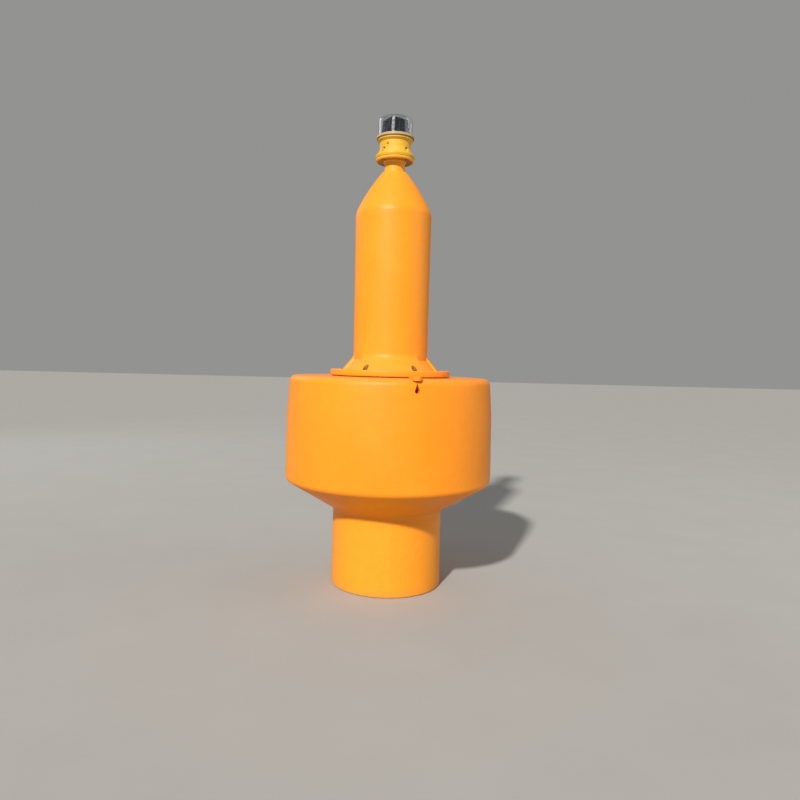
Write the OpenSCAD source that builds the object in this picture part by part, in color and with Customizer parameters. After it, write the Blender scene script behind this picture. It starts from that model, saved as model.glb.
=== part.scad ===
// Moulded navigation buoy, 800 mm across and about 1.8 m tall with its lantern.
// It stands on the floor on its skirt: Z = 0 is the floor and the Z axis is the
// buoy's own axis. Azimuths are in degrees from the -Y side, towards +X.

/* [Float] */
// Largest diameter of the float
float_d = 800; // [720:5:880]
// Height of the deck above the floor
deck_z = 800; // [740:5:840]
// Height of the float's upright side
side_h = 399; // [340:1:430]
// Height of the cone under the side
cone_h = 110; // [90:1:130]
// Diameter of the skirt that the buoy stands on
skirt_d = 422; // [390:2:450]
// Radius of the shoulder between the side and the deck
shoulder_r = 25; // [15:1:35]
// Radius of the edge between the side and the cone
chine_r = 24; // [14:1:30]
// Radius of the hollow between the cone and the skirt
skirt_fillet_r = 30; // [20:1:40]
// Radius of the skirt's lower edge
skirt_edge_r = 7; // [5:1:14]
// Height of the upper part of the side that leans inwards
draft_h = 140; // [100:5:180]
// How far that part leans inwards
draft_in = 7; // [3:0.5:12]

/* [Lifting eyes] */
// Azimuth of the first lifting eye
lift_az = 14; // [10:1:18]
// Width of the lug that bridges an eye
lift_lug_w = 32; // [30:1:40]
// Height of the lug over the deck
lift_lug_h = 10; // [6:1:14]
// Thickness of the lug, from its top down to the underside of its nose
lift_lug_t = 14; // [12:1:18]
// Diameter of the hole down through an eye
lift_hole_d = 18; // [14:1:22]
// Distance of the hole's axis from the float's side
lift_hole_in = 46; // [42:1:54]
// Height of the mouth in the float's side
lift_mouth_h = 36; // [30:1:44]
// Depth of the mouth's upper tip under the deck
lift_bridge_t = 13; // [12:1:18]

/* [Mooring recess] */
// Diameter of the recess in the underside of the skirt
recess_d = 300; // [280:5:330]
// Height of the recess
recess_h = 130; // [125:5:150]
// Diameter of the ballast plate
ballast_d = 270; // [230:5:272]
// Thickness of the ballast plate
ballast_t = 20; // [15:1:25]
// Diameter of the circle of ballast bolts
ballast_pcd = 200; // [180:5:220]
// Thickness of the mooring eye's plate
eye_t = 16; // [12:1:18]
// Outer radius of the mooring eye
eye_r = 24; // [22:1:26]
// Depth of the eye's hole under the ballast plate
eye_drop = 28; // [27:1:32]
// Diameter of the shackle's pin
pin_d = 16; // [14:1:18]
// Diameter of the shackle's bar
bar_d = 13; // [11:1:14]
// Free width between the shackle's legs
jaw_w = 28; // [28:1:34]
// Distance from the pin's axis to the inside of the bow
bow_l = 46; // [44:1:50]

/* [Tower] */
// Diameter of the foot flange
foot_d = 470; // [456:2:490]
// Thickness of the foot flange
foot_t = 23; // [20:1:28]
// Thickness of the seal under the foot flange
seal_t = 3; // [2:0.5:6]
// Diameter of the tube just over its flare
tube_low_d = 292; // [284:2:300]
// Diameter of the tube at the top
tube_high_d = 302; // [294:2:310]
// Height of the tube over the foot flange
tube_h = 618; // [540:1:680]
// Height of the shoulder over the tube
nose_h = 165; // [140:1:180]
// Radius of the shoulder's upper end
nose_top_r = 51; // [48:1:56]
// How far the shoulder bulges beyond a straight cone
nose_bulge = 6.5; // [4:0.5:10]
// Diameter of the neck
neck_d = 82; // [76:1:90]
// Height of the neck, between the shoulder and the top plate
neck_h = 45; // [38:1:52]
// Diameter of the tower's top plate
plate_d = 152; // [148:1:154]
// Thickness of the top plate
plate_t = 12; // [11:0.5:15]

/* [Foot pads] */
// Number of pads round the foot, with two bolts each
pad_count = 3; // [3]
// Angle that a pad spans
pad_span = 91; // [84:1:96]
// Radius of the pads where they meet the flange
pad_base_r = 188; // [184:1:194]
// Height of the pads over the flange
pad_h = 51; // [46:1:58]
// How far the flare between the pads stays behind them
pad_proud = 10; // [7:1:13]
// Diameter of a bolt pocket
pocket_d = 21; // [21:0.5:23]
// Radius of the circle of foot bolts
foot_bolt_r = 181; // [178:1:184]
// Depth of a pocket's floor in the flange
pocket_sink = 12; // [10:1:14]

/* [Lantern] */
// Diameter of the lantern's flange
flange_d = 156; // [152:1:162]
// Thickness of the flange's rim
flange_t = 17; // [15:0.5:22]
// Diameter of the lantern's base
base_d = 124; // [120:1:128]
// Height of the base with its flange
base_h = 77.5; // [74:0.5:88]
// Wall thickness of the base
base_wall = 6; // [5:0.5:7]
// Diameter of the pale clamp ring and of the collar under it
ring_d = 150; // [147:0.5:153]
// Height of the clamp ring
ring_h = 10; // [8:0.5:12]
// Diameter of the clear cover
cover_d = 138; // [130:0.5:139]
// Height of the clear cover over the base
cover_h = 84; // [78:1:92]
// Wall thickness of the cover
cover_t = 3; // [2:0.5:4]
// Azimuth of the solar frame's front corner
frame_az = -11; // [-20:1:0]
// Distance from the axis to a panel's lower edge
panel_low = 43.5; // [41:0.5:46]
// Distance from the axis to a panel's upper edge
panel_high = 39; // [36:0.5:41]
// Width of the cut-off corners of the solar frame
corner_w = 11; // [9:0.5:14]
// Thickness of a solar panel
panel_t = 2; // [1.5:0.5:3]

/* [Hidden] */
$fn = 96;
// Number of straight steps in a rounded edge of an outline
arc_steps = 8;
// How far a cutting solid runs past the face that it cuts
over = 1;

float_col = "#FFAE33";
tower_col = "#FFB53C";
lantern_col = "#F6C53A";
rubber_col = "#2A2A2A";
steel_col = "#B8BCC0";
pale_col = "#E9DFC4";

// Float heights
float_r = float_d / 2;
skirt_r = skirt_d / 2;
side_z = deck_z - side_h;
skirt_h = side_z - cone_h;
deck_r = float_r - draft_in;
cone_a = atan2(cone_h, float_r - skirt_r);
chine_rise = chine_r * tan((90 - cone_a) / 2);
// Where the hollow under the cone runs into the skirt, and the float meets the skirt's node
skirt_top = skirt_h - skirt_fillet_r * tan((90 - cone_a) / 2);

// Lifting eyes
lift_azimuths = [lift_az, lift_az + 180];
lift_r = float_r - lift_hole_in;
lift_mouth_r = lift_hole_d / 2;
lift_mouth_z = deck_z - lift_bridge_t - lift_mouth_h + lift_mouth_r;
lift_nose_out = 3;

// Mooring gear under the skirt
ballast_z = recess_h - ballast_t;
eye_z = ballast_z - eye_drop;
pin_clear = 0.4;
pin_fit = 0.2;
ear_r = pin_d / 2 + 6;
leg_x = (jaw_w + bar_d) / 2;
pin_head_r = 12;
pin_head_t = 7;
pin_nut_t = 8;
pin_nut_af = 24;
pin_end = 4;
ballast_bolts_n = 4;
ballast_bolt_d = 12;
ballast_bolt_l = 40;
ballast_washer_r = 12;
ballast_washer_t = 2.5;
ballast_head_af = 18;
ballast_head_h = 7.5;

// Fill plug in the deck, behind the foot
plug_az = 150;
plug_r = 20;
plug_t = 5;
plug_rim = 3;
plug_hex_af = 14;
plug_in = 30;

// Tower heights
seal_z = deck_z;
foot_z = deck_z + seal_t;
flange_top = foot_z + foot_t;
tube_top = flange_top + tube_h;
nose_top = tube_top + nose_h;
plate_z = nose_top + neck_h;
plate_top = plate_z + plate_t;
foot_r = foot_d / 2;
tube_low_r = tube_low_d / 2;
tube_high_r = tube_high_d / 2;
neck_r = neck_d / 2;
plate_r = plate_d / 2;
seal_inset = 10;
seal_w = 85;
foot_edge_r = 4;
nose_fillet = 6;
plate_edge = 7;

// Pads and foot bolts
pad_azimuths = [for (i = [0 : pad_count - 1]) i * 360 / pad_count];
bolt_azimuths = [for (az = pad_azimuths, side = [-1, 1]) az + side * 90 / pad_count];
pad_root = 20;
pocket_z = flange_top - pocket_sink;
bolt_r = 6;
bolt_head_r = 9;
bolt_head_h = 12;
bolt_clear = 0.4;
bolt_socket_af = 10;
bolt_socket_depth = 6;
bolt_in_float = 40;
washer_r = 10;
washer_t = 2.5;

// Lantern heights
lantern_seal_t = 1.5;
lantern_seal_in = 2;
lantern_seal_w = 30;
base_z = plate_top + lantern_seal_t;
base_top = base_z + base_h;
flange_r = flange_d / 2;
base_r = base_d / 2;
ring_r = ring_d / 2;
cover_r = cover_d / 2;
flange_edge_r = 9;
flange_foot_in = 2;
skirt_cone_h = 20;
collar_h = 6;
collar_in = 4;
collar_cone_h = 8;
cover_seal_t = 3;
cover_seal_in = 1.5;
cover_lip_h = 3;
cover_lip_w = 2;
cover_z = base_top + cover_seal_t;
cover_top = base_top + cover_h;
cover_edge_r = 9;
cover_crown = 1;
ring_edge = 2;
lantern_bolts_n = 4;
lantern_bolt_r = 64;
lantern_bolt_d = 8;
lantern_bolt_end = 1.5;
lantern_head_af = 13;
lantern_head_h = 5.5;
lantern_nut_h = 7;
lantern_nut_sink = 0.5;
lantern_nut_clear = 0.3;
lantern_pocket_r = 8.5;
lantern_pocket_sink = 6;
port_az = -29;
port_up = 49;
port_r = 5;
port_sink = 3;
port_knob_r = 3.5;
port_knob_h = 1.5;
screws_n = 6;
screw_head_r = 2.5;
screw_head_t = 1.5;
// Ratio of a hexagon's width across its corners to its width across its flats
hex_corner = 2 / sqrt(3);

// Solar frame and lamps
board_t = 12;
board_clear = 1;
board_r = cover_r - cover_t - board_clear;
frame_z = base_top + board_t;
frame_clear = 1.5;
frame_h = cover_top - cover_t - frame_clear - frame_z;
panel_foot = 9;
panel_head = 2;
panel_side = 1.5;
leds_per_corner = 4;
led_up = 5;
led_step = 18;
led_size = 5;
led_h = 2.5;

// Points of an arc from angle a0 to angle a1
function arc(cx, cy, r, a0, a1, n = arc_steps) =
    [for (i = [0 : n]) let (a = a0 + (a1 - a0) * i / n) [cx + r * cos(a), cy + r * sin(a)]];

// Circle through two points whose middle stands off the chord by the given bulge
function bow_radius(p, q, bulge) = (norm(q - p) ^ 2 / 4 + bulge ^ 2) / (2 * bulge);

// Turns its children to an azimuth, so that their +X points outwards
module at_azimuth(az) {
    rotate([0, 0, az - 90]) children();
}

module tube_between(r_out, r_in, z0, z1) {
    translate([0, 0, z0])
        difference() {
            cylinder(r = r_out, h = z1 - z0);
            translate([0, 0, -over]) cylinder(r = r_in, h = z1 - z0 + 2 * over);
        }
}

// Hexagonal prism by its width across the flats
module hex_bar(af, h) {
    cylinder(r = af / 2 * hex_corner, h = h, $fn = 6);
}

// Half outline of the float, from the skirt's top up to the deck
module float_outline() {
    draft_a = atan2(draft_in, draft_h);
    polygon(concat(
        [[0, skirt_top]],
        arc(skirt_r + skirt_fillet_r, skirt_top, skirt_fillet_r, 180, 90 + cone_a),
        arc(float_r - chine_r, side_z + chine_rise, chine_r, cone_a - 90, 0),
        [[float_r, deck_z - draft_h]],
        arc(deck_r - shoulder_r, deck_z - shoulder_r, shoulder_r, draft_a, 90),
        [[0, deck_z]]
    ));
}

// Half outline of the skirt under the float
module skirt_outline() {
    polygon(concat(
        [[0, 0]],
        arc(skirt_r - skirt_edge_r, skirt_edge_r, skirt_edge_r, -90, 0),
        [[skirt_r, skirt_top], [0, skirt_top]]
    ));
}

// Puts its children at each ballast bolt's place round the axis
module at_ballast_bolts() {
    for (i = [0 : ballast_bolts_n - 1])
        rotate([0, 0, 45 + i * 360 / ballast_bolts_n]) translate([ballast_pcd / 2, 0, 0]) children();
}

// Puts its children at each foot bolt's place round the axis
module at_foot_bolts() {
    for (az = bolt_azimuths) at_azimuth(az) translate([foot_bolt_r, 0, 0]) children();
}

// Puts its children at each lantern bolt's place round the axis
module at_lantern_bolts() {
    for (i = [0 : lantern_bolts_n - 1])
        rotate([0, 0, 45 + i * 360 / lantern_bolts_n]) translate([lantern_bolt_r, 0, 0]) children();
}

// Puts its children on the deck's face, where the fill plug is
module at_plug() {
    at_azimuth(plug_az) translate([deck_r - shoulder_r - plug_in - plug_r, 0, deck_z - plug_t]) children();
}

// Outline of a lifting eye's mouth: a round foot that narrows upwards to a tip
module mouth_outline() {
    tip = lift_mouth_h - lift_mouth_r;
    tangent_a = acos(lift_mouth_r / tip);
    polygon(concat(
        [[0, tip]],
        arc(0, 0, lift_mouth_r, 90 + tangent_a, 450 - tangent_a, 20)
    ));
}

// Lug that bridges a lifting eye, with a rounded nose over the float's side
module lift_lug() {
    back = lift_r - lift_lug_w / 2;
    front = float_r + lift_nose_out - lift_lug_w / 2;
    z0 = deck_z + lift_lug_h - lift_lug_t;
    translate([back, -lift_lug_w / 2, z0]) cube([front - back, lift_lug_w, lift_lug_t]);
    for (x = [back, front]) translate([x, 0, z0]) cylinder(d = lift_lug_w, h = lift_lug_t);
}

module float_hull() {
    color(float_col)
    difference() {
        union() {
            rotate_extrude() float_outline();
            for (az = lift_azimuths) at_azimuth(az) lift_lug();
        }
        for (az = lift_azimuths) at_azimuth(az) {
            translate([lift_r, 0, lift_mouth_z - lift_mouth_r])
                cylinder(d = lift_hole_d, h = deck_z + lift_lug_h - lift_mouth_z + lift_mouth_r + over);
            translate([lift_r, 0, lift_mouth_z])
                rotate([90, 0, 90])
                    linear_extrude(lift_hole_in + lift_nose_out + over) mouth_outline();
        }
        at_foot_bolts() translate([0, 0, deck_z - bolt_in_float - over])
            cylinder(r = bolt_r + bolt_clear, h = bolt_in_float + 2 * over);
        at_plug() cylinder(r = plug_r + bolt_clear, h = plug_t + over);
    }
}

// Skirt that the buoy stands on, open below for the mooring gear
module float_skirt() {
    color(float_col)
    difference() {
        rotate_extrude() skirt_outline();
        translate([0, 0, -over]) cylinder(d = recess_d, h = recess_h + over);
        at_ballast_bolts() translate([0, 0, recess_h - over])
            cylinder(r = ballast_bolt_d / 2 + bolt_clear, h = ballast_bolt_l - ballast_t + 2 * over);
    }
}

// Screwed plug that closes the hole where the foam went in
module fill_plug() {
    color(rubber_col)
    at_plug() difference() {
        cylinder(r = plug_r, h = plug_t + plug_rim);
        translate([0, 0, plug_t]) hex_bar(plug_hex_af, plug_rim + over);
    }
}

module ballast_plate() {
    color(steel_col)
    translate([0, 0, ballast_z])
        difference() {
            cylinder(d = ballast_d, h = ballast_t);
            at_ballast_bolts() translate([0, 0, -over])
                cylinder(r = ballast_bolt_d / 2 + bolt_clear, h = ballast_t + 2 * over);
        }
}

// Hex bolts with flat washers that hold the ballast plate under the skirt
module ballast_bolts() {
    color(steel_col)
    at_ballast_bolts() {
        washer_z = ballast_z - ballast_washer_t;
        translate([0, 0, washer_z]) cylinder(r = ballast_washer_r, h = ballast_washer_t);
        translate([0, 0, washer_z - ballast_head_h]) hex_bar(ballast_head_af, ballast_head_h);
        translate([0, 0, washer_z - over])
            cylinder(d = ballast_bolt_d, h = ballast_bolt_l + ballast_washer_t + over);
    }
}

// Plate with the mooring hole, welded under the ballast plate
module mooring_eye() {
    color(steel_col)
    difference() {
        union() {
            translate([-eye_t / 2, 0, eye_z]) rotate([0, 90, 0]) cylinder(r = eye_r, h = eye_t);
            translate([-eye_t / 2, -eye_r, eye_z]) cube([eye_t, 2 * eye_r, ballast_z - eye_z]);
        }
        translate([-eye_t / 2 - over, 0, eye_z]) rotate([0, 90, 0])
            cylinder(r = pin_d / 2 + pin_clear, h = eye_t + 2 * over);
    }
}

// U-shaped bow of the mooring shackle with an ear on each leg
module shackle_bow() {
    color(steel_col)
    difference() {
        union() {
            for (side = [-1, 1]) {
                translate([side * leg_x, 0, eye_z - bow_l + leg_x - bar_d / 2])
                    cylinder(d = bar_d, h = bow_l - leg_x + bar_d / 2);
                translate([side * leg_x - bar_d / 2, 0, eye_z]) rotate([0, 90, 0])
                    cylinder(r = ear_r, h = bar_d);
            }
            translate([0, 0, eye_z - bow_l + leg_x - bar_d / 2]) rotate([-90, 0, 0])
                rotate_extrude(angle = 180) translate([leg_x, 0]) circle(d = bar_d, $fn = 32);
        }
        translate([-leg_x - bar_d, 0, eye_z]) rotate([0, 90, 0])
            cylinder(r = pin_d / 2 + pin_fit, h = 2 * (leg_x + bar_d));
    }
}

// Headed pin of the shackle with its nut
module shackle_pin() {
    color(steel_col)
    translate([0, 0, eye_z]) rotate([0, 90, 0]) {
        ear_x = leg_x + bar_d / 2;
        translate([0, 0, -ear_x - pin_head_t]) cylinder(r = pin_head_r, h = pin_head_t);
        translate([0, 0, -ear_x - over]) cylinder(d = pin_d, h = 2 * ear_x + over + pin_nut_t + pin_end);
        translate([0, 0, ear_x]) hex_bar(pin_nut_af, pin_nut_t);
    }
}

module foot_seal() {
    color(rubber_col)
    difference() {
        tube_between(foot_r - seal_inset, foot_r - seal_inset - seal_w, seal_z, foot_z);
        at_foot_bolts() translate([0, 0, seal_z - over])
            cylinder(r = bolt_r + bolt_clear, h = seal_t + 2 * over);
    }
}

// Half outline of the tower's outside, from the foot up to the top plate
module tower_outline() {
    nose_low = [tube_high_r, tube_top];
    nose_high = [nose_top_r, nose_top];
    nose_r = bow_radius(nose_low, nose_high, nose_bulge);
    chord_a = atan2(nose_low.x - nose_high.x, nose_h);
    half_a = asin(norm(nose_high - nose_low) / 2 / nose_r);
    centre = nose_low - nose_r * [cos(chord_a - half_a), sin(chord_a - half_a)];
    flare_r = pad_base_r - pad_proud;
    flare_h = pad_h * (flare_r - tube_low_r) / (pad_base_r - tube_low_r);
    polygon(concat(
        [[0, foot_z]],
        arc(foot_r - foot_edge_r, foot_z + foot_edge_r, foot_edge_r, -90, 0, 3),
        arc(foot_r - foot_edge_r, flange_top - foot_edge_r, foot_edge_r, 0, 90, 3),
        [[flare_r, flange_top], [tube_low_r, flange_top + flare_h]],
        arc(centre.x, centre.y, nose_r, chord_a - half_a, chord_a + half_a, 10),
        arc(neck_r + nose_fillet, nose_top + nose_fillet, nose_fillet, -90, -180, 4),
        arc(neck_r + nose_fillet, plate_z - nose_fillet, nose_fillet, 180, 90, 4),
        arc(plate_r - plate_edge, plate_z + plate_edge, plate_edge, -90, 0, 4),
        [[plate_r, plate_top], [0, plate_top]]
    ));
}

// Pad on the foot: a stretch of the flare that stands forward, with a flat end on each side
module foot_pad() {
    root_r = tube_low_r - pad_root;
    rotate([0, 0, -pad_span / 2]) rotate_extrude(angle = pad_span) polygon([
        [root_r, flange_top - over],
        [pad_base_r, flange_top - over],
        [pad_base_r, flange_top],
        [tube_low_r, flange_top + pad_h],
        [root_r, flange_top + pad_h]
    ]);
}

module tower() {
    color(tower_col)
    difference() {
        union() {
            rotate_extrude() tower_outline();
            for (az = pad_azimuths) at_azimuth(az) foot_pad();
        }
        at_foot_bolts() {
            translate([0, 0, foot_z - over]) cylinder(r = bolt_r + bolt_clear, h = foot_t);
            translate([0, 0, pocket_z]) cylinder(d = pocket_d, h = pad_h + pocket_sink);
        }
        at_lantern_bolts() translate([0, 0, plate_z - over]) {
            cylinder(r = lantern_bolt_d / 2 + bolt_clear, h = plate_t + 2 * over);
            hex_bar(lantern_head_af + 2 * lantern_nut_clear, lantern_nut_sink + lantern_nut_h + over);
        }
    }
}

module foot_washers() {
    color(steel_col)
    at_foot_bolts() tube_between(washer_r, bolt_r + bolt_clear, pocket_z, pocket_z + washer_t);
}

// Socket screws that hold the tower's foot on the float
module foot_bolts() {
    color(steel_col)
    at_foot_bolts() {
        head_z = pocket_z + washer_t;
        difference() {
            translate([0, 0, head_z]) cylinder(r = bolt_head_r, h = bolt_head_h);
            translate([0, 0, head_z + bolt_head_h - bolt_socket_depth])
                hex_bar(bolt_socket_af, bolt_socket_depth + over);
        }
        translate([0, 0, deck_z - bolt_in_float])
            cylinder(r = bolt_r, h = head_z - deck_z + bolt_in_float + over);
    }
}

module lantern_seal() {
    seal_r = plate_r - lantern_seal_in;
    color(rubber_col)
    difference() {
        tube_between(seal_r, seal_r - lantern_seal_w, plate_top, base_z);
        at_lantern_bolts() translate([0, 0, plate_top - over])
            cylinder(r = lantern_bolt_d / 2 + bolt_clear, h = lantern_seal_t + 2 * over);
    }
}

// Housing of the lantern: flange, sloping skirt, round body and overhanging collar
module lantern_base() {
    rim_z = base_z + flange_t;
    collar_z = base_top - collar_h;
    collar_r = ring_r - collar_in;
    color(lantern_col)
    difference() {
        rotate_extrude() polygon(concat(
            [[0, base_z], [flange_r - flange_foot_in, base_z]],
            arc(flange_r - flange_edge_r, rim_z - flange_edge_r, flange_edge_r, 0, 90, 6),
            [[base_r, rim_z + skirt_cone_h], [base_r, collar_z - collar_cone_h]],
            [[collar_r, collar_z], [collar_r, base_top], [0, base_top]]
        ));
        translate([0, 0, base_z - over])
            cylinder(r = base_r - base_wall - port_sink, h = base_h - base_wall + over);
        at_lantern_bolts() {
            translate([0, 0, base_z - over]) cylinder(r = lantern_bolt_d / 2 + bolt_clear, h = flange_t);
            translate([0, 0, rim_z - lantern_pocket_sink])
                cylinder(r = lantern_pocket_r, h = skirt_cone_h + lantern_pocket_sink);
        }
        at_port() cylinder(r = port_r + bolt_clear, h = port_sink + over);
    }
}

module lantern_bolts() {
    head_z = base_z + flange_t - lantern_pocket_sink;
    low_z = plate_z + lantern_nut_sink - lantern_bolt_end;
    color(steel_col)
    at_lantern_bolts() {
        translate([0, 0, head_z]) hex_bar(lantern_head_af, lantern_head_h);
        translate([0, 0, low_z]) cylinder(d = lantern_bolt_d, h = head_z - low_z + over);
    }
}

// Nuts in hexagonal pockets in the underside of the top plate
module lantern_nuts() {
    color(steel_col)
    at_lantern_bolts() translate([0, 0, plate_z + lantern_nut_sink])
        difference() {
            hex_bar(lantern_head_af, lantern_nut_h);
            translate([0, 0, -over])
                cylinder(r = lantern_bolt_d / 2 + pin_fit, h = lantern_nut_h + 2 * over);
        }
}

// Turns its children to the service port, so that their +Z points out of it
module at_port() {
    at_azimuth(port_az) translate([base_r - port_sink, 0, base_z + port_up]) rotate([0, 90, 0]) children();
}

// Cap over the service port in the side of the lantern's base
module port_cap() {
    color(rubber_col)
    at_port() {
        cylinder(r = port_r, h = port_sink);
        cylinder(r = port_knob_r, h = port_sink + port_knob_h);
    }
}

module cover_seal() {
    color(rubber_col)
    tube_between(ring_r - cover_seal_in, cover_r - cover_t, base_top, cover_z);
}

// Clear cover: a straight cup with a rounded edge and a lip at its foot
module cover() {
    lip_r = cover_r + cover_lip_w;
    edge_r = cover_r - cover_edge_r;
    color(pale_col, 0.35)
    difference() {
        rotate_extrude() polygon(concat(
            [[0, cover_z], [lip_r, cover_z]],
            [[lip_r, cover_z + cover_lip_h], [cover_r, cover_z + cover_lip_h]],
            arc(edge_r, cover_top - cover_edge_r, cover_edge_r, 0, 80, 6),
            [[0, cover_top + cover_crown]]
        ));
        rotate_extrude() polygon(concat(
            [[0, cover_z - over], [cover_r - cover_t, cover_z - over]],
            arc(edge_r, cover_top - cover_edge_r, cover_edge_r - cover_t, 0, 80, 6),
            [[0, cover_top + cover_crown - cover_t]]
        ));
    }
}

// Pale ring that clamps the cover's lip to the collar
module clamp_ring() {
    in_r = cover_r + bolt_clear;
    lip_r = cover_r + cover_lip_w + bolt_clear;
    color(pale_col)
    rotate_extrude() polygon([
        [in_r, cover_z + cover_lip_h],
        [lip_r, cover_z + cover_lip_h],
        [lip_r, cover_z],
        [ring_r, cover_z],
        [ring_r, cover_z + ring_h - ring_edge],
        [ring_r - ring_edge, cover_z + ring_h],
        [in_r, cover_z + ring_h]
    ]);
}

module clamp_screws() {
    color(steel_col)
    for (i = [0 : screws_n - 1]) rotate([0, 0, i * 360 / screws_n])
        translate([ring_r, 0, cover_z + (ring_h - ring_edge) / 2]) rotate([0, 90, 0])
            cylinder(r = screw_head_r, h = screw_head_t);
}

module led_board() {
    color("#E8E8E4")
    translate([0, 0, base_top]) cylinder(r = board_r, h = board_t);
}

// Distance from the axis to a cut-off corner's face, for sides at distance d
function corner_r(d) = d * sqrt(2) - corner_w / 2;

// Lamps in a row up each cut-off corner of the solar frame
module leds() {
    lean = atan2(corner_r(panel_low) - corner_r(panel_high), frame_h);
    color("#F7F2C8")
    for (corner = [0 : 3]) at_azimuth(frame_az + corner * 90)
        translate([corner_r(panel_low), 0, frame_z]) rotate([0, -lean, 0])
            for (k = [0 : leds_per_corner - 1])
                translate([0, -led_size / 2, led_up + k * led_step - led_size / 2])
                    cube([led_h, led_size, led_size]);
}

// Half side of the frame's outline at a distance from the axis
function frame_points(d) = [for (q = [0 : 3]) for (s = [-1, 1])
    let (a = q * 90, c = d - corner_w / sqrt(2)) [d * cos(a) - s * c * sin(a), d * sin(a) + s * c * cos(a)]];

// Core that the panels stand on: a tapered square post with cut-off corners
module solar_frame() {
    n = 8;
    low = frame_points(panel_low);
    high = frame_points(panel_high);
    color("white")
    at_azimuth(frame_az + 45) translate([0, 0, frame_z])
        polyhedron(
            points = concat([for (p = low) [p.x, p.y, 0]], [for (p = high) [p.x, p.y, frame_h]]),
            faces = concat(
                [[for (i = [0 : n - 1]) i]],
                [for (i = [0 : n - 1]) [i, n + i, n + (i + 1) % n, (i + 1) % n]],
                [[for (i = [n - 1 : -1 : 0]) n + i]]
            )
        );
}

// Solar panel on one side of the frame
module solar_panel(side) {
    slant = norm([frame_h, panel_low - panel_high]);
    lean = atan2(panel_low - panel_high, frame_h);
    low_w = 2 * (panel_low - corner_w / sqrt(2)) - 2 * panel_side;
    high_w = 2 * (panel_high - corner_w / sqrt(2)) - 2 * panel_side;
    color("#15161A")
    at_azimuth(frame_az + 45 + side * 90)
        translate([panel_low, 0, frame_z]) rotate([0, -lean, 0]) rotate([90, 0, 90])
            linear_extrude(panel_t) polygon([
                [-low_w / 2, panel_foot], [low_w / 2, panel_foot],
                [high_w / 2, slant - panel_head], [-high_w / 2, slant - panel_head]
            ]);
}

float_hull();
float_skirt();
fill_plug();
ballast_plate();
ballast_bolts();
mooring_eye();
shackle_bow();
shackle_pin();
foot_seal();
tower();
foot_washers();
foot_bolts();
lantern_seal();
lantern_base();
lantern_bolts();
lantern_nuts();
port_cap();
cover_seal();
cover();
clamp_ring();
clamp_screws();
led_board();
leds();
solar_frame();
solar_panel(0);  // solar_panel_1
solar_panel(1);  // solar_panel_2
solar_panel(2);  // solar_panel_3
solar_panel(3);  // solar_panel_4
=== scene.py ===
"""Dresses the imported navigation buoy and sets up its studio, its camera and its lights."""

import logging
import math
from collections.abc import Sequence
from dataclasses import dataclass
from enum import Enum
from functools import cache

import bmesh
import bpy
import numpy as np
from mathutils import Matrix, Vector


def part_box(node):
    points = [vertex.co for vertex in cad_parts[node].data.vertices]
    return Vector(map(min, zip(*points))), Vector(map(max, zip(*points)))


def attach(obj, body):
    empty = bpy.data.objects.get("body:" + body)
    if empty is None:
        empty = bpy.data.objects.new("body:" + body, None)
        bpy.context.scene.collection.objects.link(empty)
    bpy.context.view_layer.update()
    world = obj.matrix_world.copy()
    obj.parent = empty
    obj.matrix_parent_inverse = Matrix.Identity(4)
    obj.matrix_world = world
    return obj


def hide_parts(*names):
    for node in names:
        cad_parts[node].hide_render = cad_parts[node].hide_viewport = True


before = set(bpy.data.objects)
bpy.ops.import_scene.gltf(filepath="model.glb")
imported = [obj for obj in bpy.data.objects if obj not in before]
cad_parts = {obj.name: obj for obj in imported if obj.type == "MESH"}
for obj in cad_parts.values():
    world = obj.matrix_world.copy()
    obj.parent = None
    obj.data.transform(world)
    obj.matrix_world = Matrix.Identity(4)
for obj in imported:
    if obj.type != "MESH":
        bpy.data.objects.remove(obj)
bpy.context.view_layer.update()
LOG = logging.getLogger("buoy")

Colour = tuple[float, float, float]
Point = tuple[float, float, float]
Spot = tuple[float, float]
Socket = bpy.types.NodeSocket
Feed = Socket | float | Sequence[float]

# Metres in a millimetre, and the angle in degrees past which a piece's edges stay sharp
MM = 0.001
SHARP = 38.0

# Turns a shape that stands up the Z axis so that it looks along +X
TO_X = Matrix.Rotation(math.pi / 2, 4, "Y")


class Body(Enum):
    """The moving bodies that pieces ride on."""

    BUOY = "buoy"
    SHACKLE = "shackle"


class Kind(Enum):
    """Kinds of socket on a node group."""

    COLOUR = "NodeSocketColor"
    NUMBER = "NodeSocketFloat"
    WHOLE = "NodeSocketInt"
    MATERIAL = "NodeSocketMaterial"
    GEOMETRY = "NodeSocketGeometry"

    def each(self, *labels: str) -> dict[str, "Kind"]:
        """Gives every label a socket of this kind."""
        return dict.fromkeys(labels, self)


# Node trees


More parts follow.
